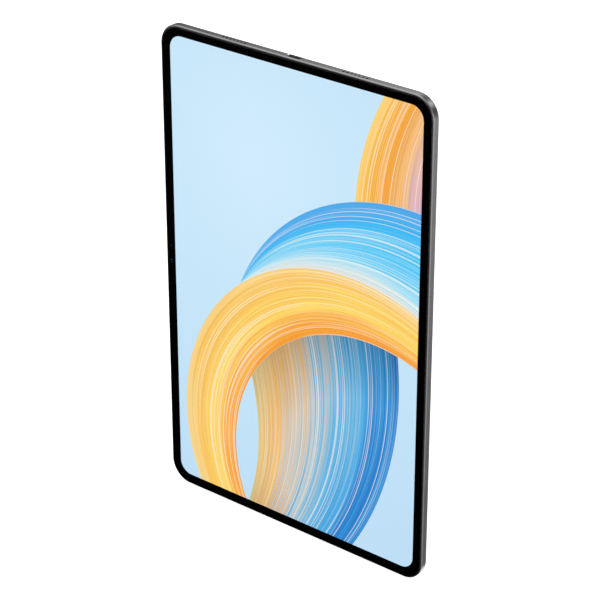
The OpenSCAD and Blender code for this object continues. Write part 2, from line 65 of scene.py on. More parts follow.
def rim_path(half_u, half_v, radius, corner_steps=24, side_steps=10):
    """Stations round a rectangle with round corners. Each is a point on the rectangle left when the
    corner radius is taken off, and a unit direction out of it. A circle is the case with no core."""
    core_u = half_u - radius
    core_v = half_v - radius
    corners = np.array([[core_u, core_v], [-core_u, core_v], [-core_u, -core_v], [core_u, -core_v]])
    cores = []
    angles = []
    for k in range(4):
        side = corners[k] - corners[k - 1]
        has_side = np.abs(side).sum() > 1e-9
        share = np.linspace(0, 1, side_steps + 1)[1:-1, None]
        if has_side:
            cores.append(corners[k - 1] + side * share)
            angles.append(np.full(len(share), k * math.pi / 2))
        turn = np.linspace(0, math.pi / 2, corner_steps + 1)
        if not has_side:
            turn = turn[1:]
        cores.append(np.repeat(corners[k][None], len(turn), 0))
        angles.append(turn + k * math.pi / 2)
    cores = np.concatenate(cores)
    angles = np.concatenate(angles)
    return cores, np.stack([np.cos(angles), np.sin(angles)], 1)


def carried(path, profile, origin, axes, closed=False, paint=None, follow=None):
    """A profile carried along a path: row i and station j give core_j + distance_i * out_j in the
    plane of the first two axes, and height_i along the third. The ends are capped flat, or, for a
    closed profile, joined. follow adds a height that depends on the place in the plane."""
    cores, outs = path
    profile = np.asarray(profile, float)
    flat = cores[None] + profile[:, :1, None] * outs[None]
    height = np.repeat(profile[:, 1:2], len(cores), 1)
    if follow is not None:
        height = height + follow(flat[..., 0], flat[..., 1])
    axes = np.asarray(axes, float)
    points = np.asarray(origin, float) + (
        flat[..., :1] * axes[0] + flat[..., 1:] * axes[1] + height[..., None] * axes[2]
    ) * MM
    rows, stations = height.shape
    index = np.arange(rows * stations).reshape(rows, stations)
    ahead = np.roll(index, -1, 1)
    upper = np.roll(index, -1, 0)
    upper_ahead = np.roll(ahead, -1, 0)
    strips = rows if closed else rows - 1
    quads = np.stack([index, ahead, upper_ahead, upper], -1)[:strips]
    marks = np.repeat(np.zeros(strips, int) if paint is None else np.asarray(paint), stations)
    faces = quads.reshape(-1, 4).tolist()
    marks = marks.tolist()
    if not closed:
        faces += [index[0][::-1].tolist(), index[-1].tolist()]
        marks += [marks[0], marks[-1]]
    if np.linalg.det(axes) < 0:
        faces = [face[::-1] for face in faces]
    return points.reshape(-1, 3), faces, marks


def piece(name, parts, materials, sharp=30):
    """One object at the origin from several surfaces, smooth except across edges sharper than the
    given angle in degrees."""
    points = []
    faces = []
    marks = []
    count = 0
    for part_points, part_faces, part_marks in parts:
        points.append(part_points)
        faces += [[i + count for i in face] for face in part_faces]
        marks += part_marks
        count += len(part_points)
    mesh = bpy.data.meshes.new(name)
    mesh.from_pydata(np.concatenate(points).tolist(), [], faces)
    for material in materials:
        mesh.materials.append(material)
    mesh.polygons.foreach_set("material_index", marks)
    mesh.update()
    soften(mesh, sharp)
    made = bpy.data.objects.new(name, mesh)
    bpy.context.scene.collection.objects.link(made)
    return made


def soften(mesh, sharp):
    """Smooth shading, with every edge bent by more than sharp degrees kept crisp."""
    mesh.polygons.foreach_set("use_smooth", np.ones(len(mesh.polygons), bool))
    mesh.set_sharp_from_angle(angle=math.radians(sharp))


def milled(body, tools, sharp=30):
    """Takes the tools out of the body, as a milling cutter does, and keeps the result as the body's
    mesh."""
    tool = piece("tool", tools, list(body.data.materials))
    step = body.modifiers.new("milling", "BOOLEAN")
    step.operation = "DIFFERENCE"
    step.solver = "MANIFOLD"
    step.object = tool
    shaped = body.evaluated_get(bpy.context.evaluated_depsgraph_get())
    mesh = bpy.data.meshes.new_from_object(shaped)
    body.modifiers.clear()
    body.data = mesh
    bpy.data.objects.remove(tool)
    soften(mesh, sharp)


class Field:
    """A value that varies over a surface. Sums and products of it become Math nodes."""

    def __init__(self, tree, socket):
        self.tree = tree
        self.socket = socket

    def math(self, operation, *values):
        node = self.tree.nodes.new("ShaderNodeMath")
        node.operation = operation
        for slot, value in zip(node.inputs, values):
            plug(self.tree, slot, value)
        return Field(self.tree, node.outputs[0])

    def __add__(self, other):
        return self.math("ADD", self, other)

    def __sub__(self, other):
        return self.math("SUBTRACT", self, other)

    def __rsub__(self, other):
        return self.math("SUBTRACT", other, self)

    def __mul__(self, other):
        return self.math("MULTIPLY", self, other)

    def __truediv__(self, other):
        return self.math("DIVIDE", self, other)

    def __pow__(self, other):
        return self.math("POWER", self, other)

    def __mod__(self, other):
        return self.math("FLOORED_MODULO", self, other)

    def __gt__(self, other):
        return self.math("GREATER_THAN", self, other)

    def __lt__(self, other):
        return self.math("LESS_THAN", self, other)

    def __abs__(self):
        return self.math("ABSOLUTE", self)

    def clipped(self):
        """Held between 0 and 1."""
        return self.math("MINIMUM", self.math("MAXIMUM", self, 0.0), 1.0)


def plug(tree, slot, value):
    """Gives a socket a link, a number, a colour or a vector."""
    if isinstance(value, Field):
        tree.links.new(value.socket, slot)
    elif isinstance(value, (tuple, list)) and slot.type == "RGBA" and len(value) == 3:
        slot.default_value = (*value, 1.0)
    else:
        slot.default_value = value


class Nodes:
    """A node tree, and the one way in which nodes are added to it."""

    def __init__(self, tree):
        self.tree = tree

    def add(self, kind, settings=None, inputs=None, output=0):
        """Adds one node: settings first, then values or links of its inputs by name."""
        node = self.tree.nodes.new(kind)
        for key, value in (settings or {}).items():
            if key == "stops":
                while len(node.color_ramp.elements) < len(value):
                    node.color_ramp.elements.new(0.5)
                for stop, (at, colour) in zip(node.color_ramp.elements, value):
                    stop.position = at
                    stop.color = (*colour, 1.0)
            else:
                setattr(node, key, value)
        for key, value in (inputs or {}).items():
            slot = next(s for s in node.inputs if key in (s.identifier, s.name))
            plug(self.tree, slot, value)
        if isinstance(output, str):
            socket = next(s for s in node.outputs if output in (s.identifier, s.name))
        else:
            socket = node.outputs[output]
        return Field(self.tree, socket)


class Finish(Nodes):
    """A surface finish: one Principled shader with its constants, and the nodes that vary it."""

    def __init__(self, name, **constants):
        self.material = bpy.data.materials.new(name)
        self.material.use_nodes = True
        super().__init__(self.material.node_tree)
        self.shader = self.tree.nodes["Principled BSDF"]
        self.place = None
        self.feed(**constants)

    def xyz(self):
        """The point's X, Y and Z in millimetres."""
        if self.place is None:
            point = self.add("ShaderNodeTexCoord", output="Object")
            inputs = {"Vector": point, "Scale": 1 / MM}
            scaled = self.add("ShaderNodeVectorMath", {"operation": "SCALE"}, inputs)
            split = self.add("ShaderNodeSeparateXYZ", None, {"Vector": scaled})
            self.place = [Field(self.tree, s) for s in split.socket.node.outputs]
        return self.place

    def join(self, x, y, z=0.0):
        """Three values as one vector."""
        return self.add("ShaderNodeCombineXYZ", inputs={"X": x, "Y": y, "Z": z})

    def grain(self, x, y, z, detail=2.0, roughness=0.5):
        """Cloudy noise from 0 to 1 whose grains are one unit of x, y and z across."""
        return self.add(
            "ShaderNodeTexNoise",
            {"noise_dimensions": "3D"},
            {"Vector": self.join(x, y, z), "Scale": 1.0, "Detail": detail, "Roughness": roughness},
        )

    def noise(self, size, detail=2.0, roughness=0.5):
        """The same noise over the surface, with grains of a size in millimetres: one for all three
        axes, or one for each."""
        sizes = np.broadcast_to(size, 3).tolist()
        return self.grain(*[c / s for c, s in zip(self.xyz(), sizes)], detail, roughness)

    def mix(self, share, first, second):
        """A colour that runs from the first to the second as share goes from 0 to 1."""
        return self.add(
            "ShaderNodeMix",
            {"data_type": "RGBA"},
            {"Factor_Float": share, "A_Color": first, "B_Color": second},
            "Result_Color",
        )

    def ramp(self, value, stops):
        """A colour read from a list of (place, colour) stops."""
        return self.add("ShaderNodeValToRGB", {"stops": stops}, {"Fac": value}, "Color")

    def feed(self, **fields):
        """Gives the shader's sockets their fields or constants."""
        for socket, value in fields.items():
            plug(self.tree, self.shader.inputs[socket.replace("_", " ")], value)

    def relief(self, height, depth_mm, strength=1.0):
        """Raises the surface where height is 1, by depth_mm."""
        bump = self.add(
            "ShaderNodeBump",
            None,
            {"Height": height, "Distance": depth_mm * MM, "Strength": strength},
            "Normal",
        )
        self.feed(Normal=bump)


def grey(level, tint=0.0):
    """A grey with a little blue in it."""
    return (level * (1 - tint), level, level * (1 + tint))


def greys(level, spread, tint=0.0):
    """A darker and a lighter grey round a level."""
    return grey(level * (1 - spread), tint), grey(level * (1 + spread), tint)


def grained(name, size, detail, colours, gloss, relief=None, contrast=0.5, **constants):
    """A finish varied by one noise. It runs from the first colour to the second, the roughness is
    gloss[0] + gloss[1] * noise, and relief is the noise's depth in millimetres and its strength."""
    finish = Finish(name, **constants)
    noise = finish.noise(size, detail, contrast)
    finish.feed(Base_Color=finish.mix(noise, *colours), Roughness=noise * gloss[1] + gloss[0])
    if relief:
        finish.relief(noise, *relief)
    return finish.material


def bead_blasted(name, level, roughness):
    """Anodised aluminium with the fine matt pits of bead blasting."""
    finish = Finish(name, Metallic=1.0)
    pits = finish.noise(0.11)
    cloud = finish.noise(9.0, 3.0)
    tone = (pits * 0.5 + cloud * 0.5).clipped()
    finish.feed(
        Base_Color=finish.mix(tone, *greys(level, 0.14)),
        Roughness=cloud * 0.05 + pits * 0.06 + (roughness - 0.055),
    )
    finish.relief(pits, 0.004, 0.5)
    return finish.material


def fresh_cut(name, level, roughness=0.2):
    """Metal cut by a polished tool after blasting: bright, with fine lines along the cut."""
    gloss = (roughness - 0.04, 0.08)
    size = (2.0, 0.04, 2.0)
    return grained(name, size, 3.0, greys(level, 0.1), gloss, (0.002, 0.4), Metallic=1.0)


def half_size(low, high):
    """Half of a box's size along X, Y and Z, in millimetres."""
    return [(b - a) / 2 / MM for a, b in zip(low, high)]


housing_low, housing_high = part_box("rear_housing")
BODY_HALF_W, _, BODY_HALF_H = half_size(housing_low, housing_high)
LIP_HEIGHT = -housing_low.y / MM
CORNER_R = 12.2
WALL = 2.0
FLOOR = 0.8
REAR_CURVE_W = 5.5
REAR_CURVE_T = 2.4
CHAMFER_W = 0.7
CHAMFER_T = 0.4
GLASS_SEAT = 5.7
HOLD = 0.25

# Across the screen, up the long side, and out through the glass
FLAT_AXES = ((1, 0, 0), (0, 0, 1), (0, -1, 0))


def quarter(start, end, steps, steep_first):
    """Profile rows on a quarter ellipse between two points, without its first point. steep_first
    says that it leaves the start along the height axis."""
    turn = np.linspace(0, math.pi / 2, steps + 1)[1:, None]
    start = np.asarray(start, float)
    span = np.asarray(end, float) - start
    grow, rise = 1 - np.cos(turn), np.sin(turn)
    share = np.hstack([grow, rise] if steep_first else [rise, grow])
    return (start + span * share).tolist()


def rear_inset(height):
    """How far the wall has drawn in where the rear curve is still rising."""
    below = np.clip((REAR_CURVE_T - height) / REAR_CURVE_T, 0, 1)
    return REAR_CURVE_W * (1 - np.sqrt(1 - below**2))


anodised = bead_blasted("anodised_blasted", 0.2, 0.28)
chamfer_cut = fresh_cut("chamfer_cut", 0.46)
# Painted shade: near-black paint for the inner walls of the wall openings, which are the same anodised
# metal as the rest
painted_shade_bore = bead_blasted("bore_painted_shade", 0.012, 0.5)

tray_outer = [(CORNER_R - REAR_CURVE_W - HOLD, 0), (CORNER_R - REAR_CURVE_W, 0)]
tray_outer += quarter(tray_outer[-1], (CORNER_R, REAR_CURVE_T), 24, False)
tray_outer += [
    (CORNER_R, REAR_CURVE_T + HOLD),
    (CORNER_R, LIP_HEIGHT - CHAMFER_T),
    (CORNER_R - CHAMFER_W, LIP_HEIGHT),
]
tray_inner = [
    (CORNER_R - CHAMFER_W - 0.05, LIP_HEIGHT),
    (CORNER_R - CHAMFER_W - 0.05, GLASS_SEAT),
    (CORNER_R - WALL, GLASS_SEAT),
    (CORNER_R - WALL, FLOOR + 2.4),
]
tray_inner += quarter(tray_inner[-1], (CORNER_R - WALL - 4, FLOOR), 10, True)
tray_inner.append((CORNER_R - WALL - 4 - HOLD, FLOOR))
tray_paint = np.zeros(len(tray_outer) + len(tray_inner) - 1, int)
tray_paint[len(tray_outer) - 2] = 1
tray_paint[len(tray_outer) - 1] = 1
body_path = rim_path(BODY_HALF_W, BODY_HALF_H, CORNER_R, 32, 16)
housing = piece(
    "housing_shell",
    [carried(body_path, tray_outer + tray_inner, (0, 0, 0), FLAT_AXES, paint=tray_paint)],
    [anodised, chamfer_cut, painted_shade_bore],
)

# The openings in the walls: round-ended slots and round holes, each with its edge broken
# The walls inside these openings carry a painted shade, near black, for their dark inside
SLOT_HEIGHT = 4.42
EDGE_BREAK = 0.04
KEY_EDGE = 0.06
PORT_EDGE = 0.22
TOP_WALL = ((1, 0, 0), (0, -1, 0), (0, 0, 1))
BOTTOM_WALL = ((1, 0, 0), (0, -1, 0), (0, 0, -1))
LEFT_WALL = ((0, 0, 1), (0, -1, 0), (-1, 0, 0))


def wall_tool(place, half_along, half_across, radius, axes, edge=EDGE_BREAK, steps=8, cut=0):
    """A cutter for an opening through a side wall. It widens over the last bit to break the edge,
    and follows the wall where the rear curve draws it in."""
    along, out, height = place
    origin = [a * along * MM + h * out * MM for a, h in zip(axes[0], axes[2])]
    origin[1] = -height * MM
    radius = min(radius, half_across, half_along)
    reach = 3.2
    profile = [(radius, -reach), (radius, -edge), (radius + edge, 0), (radius + edge + 0.3, 0.3)]
    path = rim_path(half_along, half_across, radius, steps, 6)
    return carried(
        # The bore wall takes the third material, the painted shade; the edge takes the given cut finish
        path, profile, origin, axes, paint=[2, cut, cut],
        follow=lambda u, v: -rear_inset(height + v),
    )


tools = []
SLOTS = 7
SLOT_PITCH = 2.43
SLOT_HALF_W = 0.55
GRILLE_X = 38.7
for wall in (TOP_WALL, BOTTOM_WALL):
    for side in (-1, 1):
        for i in range(SLOTS):
            from_middle = i - (SLOTS - 1) / 2
            tall = 1.2 + 0.8 * abs(from_middle) / 3
            spot = (side * GRILLE_X + from_middle * SLOT_PITCH, BODY_HALF_H, SLOT_HEIGHT)
            tools.append(wall_tool(spot, SLOT_HALF_W, tall / 2, SLOT_HALF_W, wall))
MIC_R = 0.5
TOP_MIC_X = -56.4
SIDE_MIC_Z = 24
tools.append(wall_tool((TOP_MIC_X, BODY_HALF_H, SLOT_HEIGHT), MIC_R, MIC_R, MIC_R, TOP_WALL))
tools.append(wall_tool((SIDE_MIC_Z, BODY_HALF_W, SLOT_HEIGHT), MIC_R, MIC_R, MIC_R, LEFT_WALL))
PORT_HEIGHT = 3.7
PORT_HOLE = (4.33, 1.44, 1.38)
tools.append(wall_tool((0, BODY_HALF_H, PORT_HEIGHT), *PORT_HOLE, TOP_WALL, PORT_EDGE, 16, 1))
KEY_GAP = 0.15
POWER_X = -66
POWER_HALF = 7.0
VOLUME_Z = -100
VOLUME_HALF = 11.0
KEY_HALF_T = 0.95
for along, out, half, wall in (
    (POWER_X, BODY_HALF_H, POWER_HALF, BOTTOM_WALL),
    (VOLUME_Z, BODY_HALF_W, VOLUME_HALF, LEFT_WALL),
):
    key_hole = (half + KEY_GAP, KEY_HALF_T + KEY_GAP, KEY_HALF_T + KEY_GAP)
    tools.append(wall_tool((along, out, SLOT_HEIGHT), *key_hole, wall, KEY_EDGE, 16, 1))

# The round openings in the rear wall, for the camera ring in its seat and for the flash
REAR_AXES = ((1, 0, 0), (0, 0, -1), (0, 1, 0))
POINT = rim_path(0, 0, 0, 24)
trim_low, trim_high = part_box("camera_trim")
camera_spot = (trim_low + trim_high) / 2
camera_spot.y = 0
flash_low, flash_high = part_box("flash_lens")
flash_spot = (flash_low + flash_high) / 2
flash_spot.y = 0
RING_R = half_size(trim_low, trim_high)[0]
FIT = 0.05
ring_seat = [(RING_R - 0.8 + FIT, -1.5), (RING_R - 0.8 + FIT, -0.3), (RING_R + FIT, -0.3)]
ring_seat += [(RING_R + FIT, -0.04), (RING_R + FIT + 0.04, 0), (RING_R + FIT + 0.3, 0.3)]
tools.append(carried(POINT, ring_seat, camera_spot, REAR_AXES, paint=[0, 0, 0, 1, 1]))
flash_hole = [(2.0, -1.5), (2.0, -0.04), (2.04, 0), (2.3, 0.3)]
tools.append(carried(POINT, flash_hole, flash_spot, REAR_AXES, paint=[0, 1, 1]))
milled(housing, tools)
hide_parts("rear_housing")
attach(housing, "tablet")

# ---- Screw posts ----
# Short round posts left standing on the floor of the tray when it is milled, each drilled and
# tapped for a board screw.
POST_SPOTS = ((-46, 38), (66, 38), (-46, 80), (66, 80), (10, 80), (-12, 115), (12, 115))
POST_TOP = 1.6
post_form = [
    (0.2, FLOOR - 0.02), (1.9, FLOOR - 0.02), (1.75, FLOOR + 0.15), (1.7, POST_TOP - 0.08),
    (1.62, POST_TOP), (0.68, POST_TOP), (0.6, POST_TOP - 0.08), (0.6, FLOOR + 0.15),
    (0.2, FLOOR + 0.12),
]
posts = piece(
    "screw_posts",
    [carried(POINT, post_form, (x * MM, 0, z * MM), FLAT_AXES) for x, z in POST_SPOTS],
    [anodised],
)
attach(posts, "tablet")

# ---- Rear camera ----
# A turned aluminium ring pressed into its seat in the rear wall, with a smoked window bonded in
# it. A black print frames the lens, and the barrel behind it moves when the camera focuses.


def off_axis(x, z, centre):
    """The distance in millimetres from an axis along Y through a centre."""
    across = x - centre.x / MM
    up = z - centre.z / MM
    return (across * across + up * up) ** 0.5


def turned(name, level, centre, roughness=0.24):
    """Metal turned on a lathe and anodised: fine rings round its axis."""
    finish = Finish(name, Metallic=1.0)
    x, y, z = finish.xyz()
    radius = off_axis(x, z, centre)
    rings = finish.grain(radius / 0.035, y / 0.05, 0.0, 1.0)
    finish.feed(
        Base_Color=finish.mix(rings, *greys(level, 0.18)),
        Roughness=rings * 0.1 + (roughness - 0.05),
    )
    finish.relief(rings, 0.003, 0.5)
    return finish.material


def clear_coated(name, tint, alpha, roughness=0.03):
    """Coated optical glass, drawn as a thin tinted film: alpha is how much of what lies behind it
    is lost. Faint smears vary its gloss."""
    finish = Finish(name, Base_Color=tint, IOR=1.5, Specular_IOR_Level=0.5)
    smear = finish.noise(1.4, 3.0)
    finish.feed(Roughness=smear * 0.05 + roughness, Alpha=smear * (alpha * 0.1) + alpha * 0.95)
    finish.material.surface_render_method = "BLENDED"
    return finish.material


RING_PROUD = trim_high.y / MM
WINDOW_R = 7.25
BORE_R = 6.2
ring_form = [
    (BORE_R, -1.19), (RING_R - 0.85, -1.19), (RING_R - 0.8, -1.1), (RING_R - 0.8, -0.3),
    (RING_R, -0.3), (RING_R, RING_PROUD - 0.35),
]
ring_form += quarter(ring_form[-1], (RING_R - 0.35, RING_PROUD), 8, True)
ring_form += [
    (WINDOW_R + 0.22, RING_PROUD), (WINDOW_R + FIT, RING_PROUD - 0.17),
    (WINDOW_R + FIT, 0.35), (BORE_R, 0.35),
]
ring_paint = [0] * len(ring_form)
ring_paint[-4] = 1
ring = piece(
    "camera_ring",
    [carried(POINT, ring_form, camera_spot, REAR_AXES, closed=True, paint=ring_paint)],
    [turned("turned_ring", 0.15, camera_spot), fresh_cut("ring_cut", 0.5, 0.14)],
)
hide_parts("camera_trim")
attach(ring, "tablet")

WINDOW_TOP = 0.95
window_form = [
    (WINDOW_R - 0.3, 0.355), (WINDOW_R - 0.05, 0.355), (WINDOW_R, 0.4), (WINDOW_R, WINDOW_TOP - 0.1),
]
window_form += quarter(window_form[-1], (WINDOW_R - 0.1, WINDOW_TOP), 4, True)
window_form.append((WINDOW_R - 0.4, WINDOW_TOP))
window = piece(
    "camera_cover",
    [carried(POINT, window_form, camera_spot, REAR_AXES)],
    [clear_coated("smoked_window", (0.02, 0.025, 0.03), 0.3)],
)
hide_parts("camera_window")
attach(window, "tablet")


def black_print(name, level=0.004, roughness=0.32):
    """Opaque black screen print under glass, with the even grain of its ink."""
    gloss = (roughness, 0.1)
    return grained(name, 0.3, 2.0, greys(level, 0.3), gloss, Specular_IOR_Level=0.02)


LENS_OPENING_R = 3.0
print_form = [
    (LENS_OPENING_R, 0.3), (BORE_R - FIT, 0.3), (BORE_R - FIT, 0.345),
    (LENS_OPENING_R + 0.02, 0.345), (LENS_OPENING_R, 0.335),
]
lens_print = piece(
    "camera_print",
    [carried(POINT, print_form, camera_spot, REAR_AXES, closed=True)],
    [black_print("camera_black")],
)
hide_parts("camera_mask")
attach(lens_print, "tablet")


def ribbed_black(name, centre):
    """Moulded black barrel with ribs that stop stray light."""
    finish = Finish(name)
    x, _, z = finish.xyz()
    radius = off_axis(x, z, centre)
    ribs = (radius % 0.24) / 0.24
    dust = finish.noise(0.08)
    finish.feed(
        Base_Color=finish.mix(ribs, (0.004, 0.004, 0.005), (0.022, 0.022, 0.024)),
        Roughness=dust * 0.2 + 0.4,
    )
    finish.relief(ribs, 0.05, 0.6)
    return finish.material


BARREL_TOP = -0.35
barrel_form = [
    (0.6, -3.83), (3.1, -3.83), (3.2, -3.73), (3.2, BARREL_TOP - 0.15), (3.05, BARREL_TOP),
    (2.62, BARREL_TOP), (2.5, BARREL_TOP - 0.12), (2.32, BARREL_TOP - 0.2), (2.3, BARREL_TOP - 0.66),
    (1.2, BARREL_TOP - 0.7), (1.2, -3.6), (0.6, -3.6),
]
barrel = piece(
    "lens_tube",
    [carried(POINT, barrel_form, camera_spot, REAR_AXES, closed=True)],
    [ribbed_black("ribbed_barrel", camera_spot)],
)
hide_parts("focus_barrel")
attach(barrel, "lens_barrel")


def coated_lens(name, centre, radius):
    """A domed lens with a blue-violet coating that turns towards green at its rim."""
    finish = Finish(name, IOR=1.6, Coat_Weight=0.6, Coat_Roughness=0.02)
    x, _, z = finish.xyz()
    out = off_axis(x, z, centre) / radius
    film = finish.noise(0.6)
    tint = finish.ramp(
        (out + film * 0.1).clipped(),
        [(0.0, (0.002, 0.003, 0.006)), (0.35, (0.012, 0.01, 0.05)), (0.7, (0.03, 0.012, 0.08)),
         (1.0, (0.004, 0.03, 0.035))],
    )
    finish.feed(Base_Color=tint, Roughness=film * 0.03 + 0.03)
    return finish.material


def dome(radius, base, edge, crown, steps=10):
    """A lathe profile: a flat back, a short rim and a shallow dome that closes on the axis."""
    turn = np.linspace(0, math.pi / 2, steps + 1)[1:-1]
    form = [(radius * 0.5, base), (radius - 0.02, base), (radius, base + 0.02), (radius, edge)]
    return form + [(radius * math.cos(a), edge + crown * math.sin(a)) for a in turn]


lens_low, lens_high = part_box("camera_lens")
LENS_R = half_size(lens_low, lens_high)[0]
main_lens = piece(
    "camera_front_element",
    [carried(POINT, dome(LENS_R, lens_low.y / MM, lens_low.y / MM + 0.12, 0.36), camera_spot, REAR_AXES)],
    [coated_lens("lens_coating", camera_spot, LENS_R)],
)
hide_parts("camera_lens")
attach(main_lens, "lens_barrel")


def moulded_black(name, level=0.013, roughness=0.42):
    """Glass-filled black moulding: fibre streaks in its gloss and a fine spark-eroded skin."""
    finish = Finish(name)
    fibre = finish.noise((1.1, 0.25, 0.25), 3.0)
    skin = finish.noise(0.09)
    finish.feed(
        Base_Color=finish.mix(fibre, grey(level * 0.7), grey(level * 1.5)),
        Roughness=fibre * 0.14 + roughness - 0.07,
    )
    finish.relief(skin, 0.006, 0.6)
    return finish.material


def dress(material, *nodes):
    """Gives carried-over CAD nodes their finish."""
    for node in nodes:
        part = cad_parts[node]
        part.data.materials.clear()
        part.data.materials.append(material)


moulding = moulded_black("moulded_resin")
dress(moulding, "camera_module")


def solder_mask(name):
    """Green circuit board: copper tracks under the mask, gold vias, and woven glass below."""
    finish = Finish(name, Specular_IOR_Level=0.5)
    x, y, z = finish.xyz()
    lane = 0.7
    region = finish.noise(9.0, 0.0)
    across = ((x % lane) / lane < 0.42) * (region > 0.5)
    along = ((z % lane) / lane < 0.42) * (region < 0.46)
    tracks = (across + along).clipped()
    vias = finish.add(
        "ShaderNodeTexVoronoi",
        {"feature": "F1"},
        {"Vector": finish.join(x / 2.4, y / 2.4, z / 2.4), "Scale": 1.0, "Randomness": 0.8},
        "Distance",
    )
    via = vias < 0.11
    weave = finish.noise(0.35, 1.0)
    mask = finish.mix(tracks, (0.004, 0.035, 0.022), (0.012, 0.085, 0.05))
    mask = finish.mix(weave * 0.25, mask, (0.002, 0.02, 0.012))
    finish.feed(
        Base_Color=finish.mix(via, mask, (0.72, 0.5, 0.2)),
        Roughness=weave * 0.1 + 0.26,
        Metallic=via * 0.9,
    )
    finish.relief(tracks, 0.03, 0.7)
    return finish.material


board_mask = solder_mask("solder_mask")
dress(board_mask, "camera_sensor")


def flex_film(name):
    """Amber polyimide film laminated over copper tracks that run along the strip."""
    finish = Finish(name, Coat_Roughness=0.12)
    x, _, z = finish.xyz()
    lane = 0.5
    lines = ((x % lane) / lane < 0.55) * ((z % 14.0) / 14.0 < 0.93)
    film = finish.noise(3.0, 3.0)
    amber = finish.mix(film, (0.34, 0.15, 0.025), (0.5, 0.25, 0.06))
    finish.feed(
        Base_Color=finish.mix(lines * 0.7, amber, (0.62, 0.3, 0.1)),
        Roughness=film * 0.15 + 0.3,
        Metallic=lines * 0.3,
        Coat_Weight=film * 0.3 + 0.3,
    )
    finish.relief(lines, 0.018, 0.7)
    return finish.material


flex = flex_film("flex_film")
dress(flex, "camera_flex")

# ---- Flash ----
# A ribbed translucent lens, flush with the rear wall, over a small white light source coated with
# yellow phosphor.


def ribbed_lens(name, centre):
    """Milky moulded lens with concentric light-spreading steps."""
    finish = Finish(name, IOR=1.49, Specular_IOR_Level=0.6)
    x, _, z = finish.xyz()
    radius = off_axis(x, z, centre)
    steps = (radius % 0.26) / 0.26
    middle = (1.0 - radius / 1.3).clipped()
    body = finish.mix(middle, (0.62, 0.6, 0.5), (0.86, 0.72, 0.3))
    finish.feed(
        Base_Color=finish.mix(steps * 0.35, body, (0.35, 0.34, 0.3)),
        Roughness=steps * 0.1 + 0.14,
    )
    finish.relief(steps, 0.05, 0.8)
    return finish.material


FLASH_R = 1.95
flash_form = [(1.0, -1.06), (2.62, -1.06), (2.65, -1.03), (2.65, -0.83), (2.62, -0.8)]
flash_form += [(FLASH_R, -0.8), (FLASH_R, -0.08), (FLASH_R - 0.06, -0.02), (FLASH_R - 0.35, -0.02)]
flash_window = piece(
    "flash_window",
    [carried(POINT, flash_form, flash_spot, REAR_AXES)],
    [ribbed_lens("flash_ribs", flash_spot)],
)
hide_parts("flash_lens")
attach(flash_window, "tablet")

YELLOWS = ((0.7, 0.5, 0.05), (0.95, 0.8, 0.2))
dress(grained("phosphor", 0.05, 2.0, YELLOWS, (0.35, 0.2), (0.01, 1.0)), "flash_led")

# ---- Charging port ----
# A drawn stainless shell round a moulded tongue with twelve gold contacts on each side, soldered to
# its own small board and sealed to the wall by a silicone gasket.


def drawn_steel(name, level=0.5, roughness=0.26):
    """Rolled or drawn stainless sheet with fine lines along it."""
    finish = Finish(name, Metallic=1.0)
    lines = finish.noise((0.06, 0.5, 3.0), 3.0)
    cloud = finish.noise(6.0)
    finish.feed(
        Base_Color=finish.mix(lines, *greys(level, 0.15, 0.01)),
        Roughness=lines * 0.1 + cloud * 0.06 + roughness - 0.08,
    )
    finish.relief(lines, 0.003, 0.5)
    return finish.material


port_low, port_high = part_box("port_shell")
PORT_HALF_W, PORT_HALF_T, _ = half_size(port_low, port_high)
PORT_R = 1.32
port_spot = ((port_low.x + port_high.x) / 2, (port_low.y + port_high.y) / 2, port_high.z)
port_depth = (port_high.z - port_low.z) / MM
shell_form = [
    (PORT_R, -port_depth), (PORT_R, -0.04), (PORT_R - 0.04, 0), (PORT_R - 0.06, 0),
    (PORT_R - 0.1, -0.06), (PORT_R - 0.1, -port_depth + 0.3),
]
shell_path = rim_path(PORT_HALF_W, PORT_HALF_T, PORT_R, 16, 4)
port_sleeve = piece(
    "port_sleeve",
    [carried(shell_path, shell_form, port_spot, TOP_WALL)],
    [drawn_steel("port_steel")],
)
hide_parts("port_shell")
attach(port_sleeve, "tablet")

tongue_low, tongue_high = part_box("port_tongue")
TONGUE_HALF_W = half_size(tongue_low, tongue_high)[0]
TONGUE_HALF_T = 0.35
tongue_spot = (port_spot[0], port_spot[1], tongue_high.z)
tongue_depth = (tongue_high.z - tongue_low.z) / MM
blade_form = [
    (0.12, -tongue_depth + 0.02), (0.12, -0.35), (0.06, -0.1), (0.0, -0.02), (-0.1, 0),
]
blade_path = rim_path(TONGUE_HALF_W, TONGUE_HALF_T, 0.12, 6, 4)
root_form = [(0.1, -tongue_depth), (0.1, -tongue_depth + 0.98), (0.03, -tongue_depth + 1.05)]
root_path = rim_path(TONGUE_HALF_W, 1.1, 0.1, 6, 4)
tongue = piece(
    "port_blade",
    [
        carried(blade_path, blade_form, tongue_spot, TOP_WALL),
        carried(root_path, root_form, tongue_spot, TOP_WALL),
    ],
    [moulding],
)
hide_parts("port_tongue")
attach(tongue, "tablet")

# Gold plate with the wipe marks of assembly, and soft silicone with a dusty bloom
GOLDS = ((0.66, 0.44, 0.14), (0.86, 0.62, 0.26))
gold = grained("gold_plate", (0.2, 0.2, 1.2), 3.0, GOLDS, (0.14, 0.2), (0.003, 0.5), Metallic=1.0)
silicone = grained(
    "silicone", 0.5, 4.0, (grey(0.012), grey(0.032)), (0.55, 0.2), (0.01, 0.5),
    Specular_IOR_Level=0.3,
)
dress(gold, "port_contacts")
dress(silicone, "port_gasket")
dress(board_mask, "port_board")
dress(flex, "port_flex")

# ---- Speakers and microphones ----
# Four moulded speaker boxes stand behind the slots, each with two flat drivers. A woven mesh keeps
# dust out of every grille, and a small metal-cased microphone sits behind each round hole.


def satin_metal(name, level=0.4, roughness=0.3):
    """Pressed satin metal with a fine spun texture."""
    gloss = (roughness - 0.06, 0.12)
    return grained(name, 0.12, 3.0, greys(level, 0.15), gloss, (0.006, 0.5), Metallic=1.0)


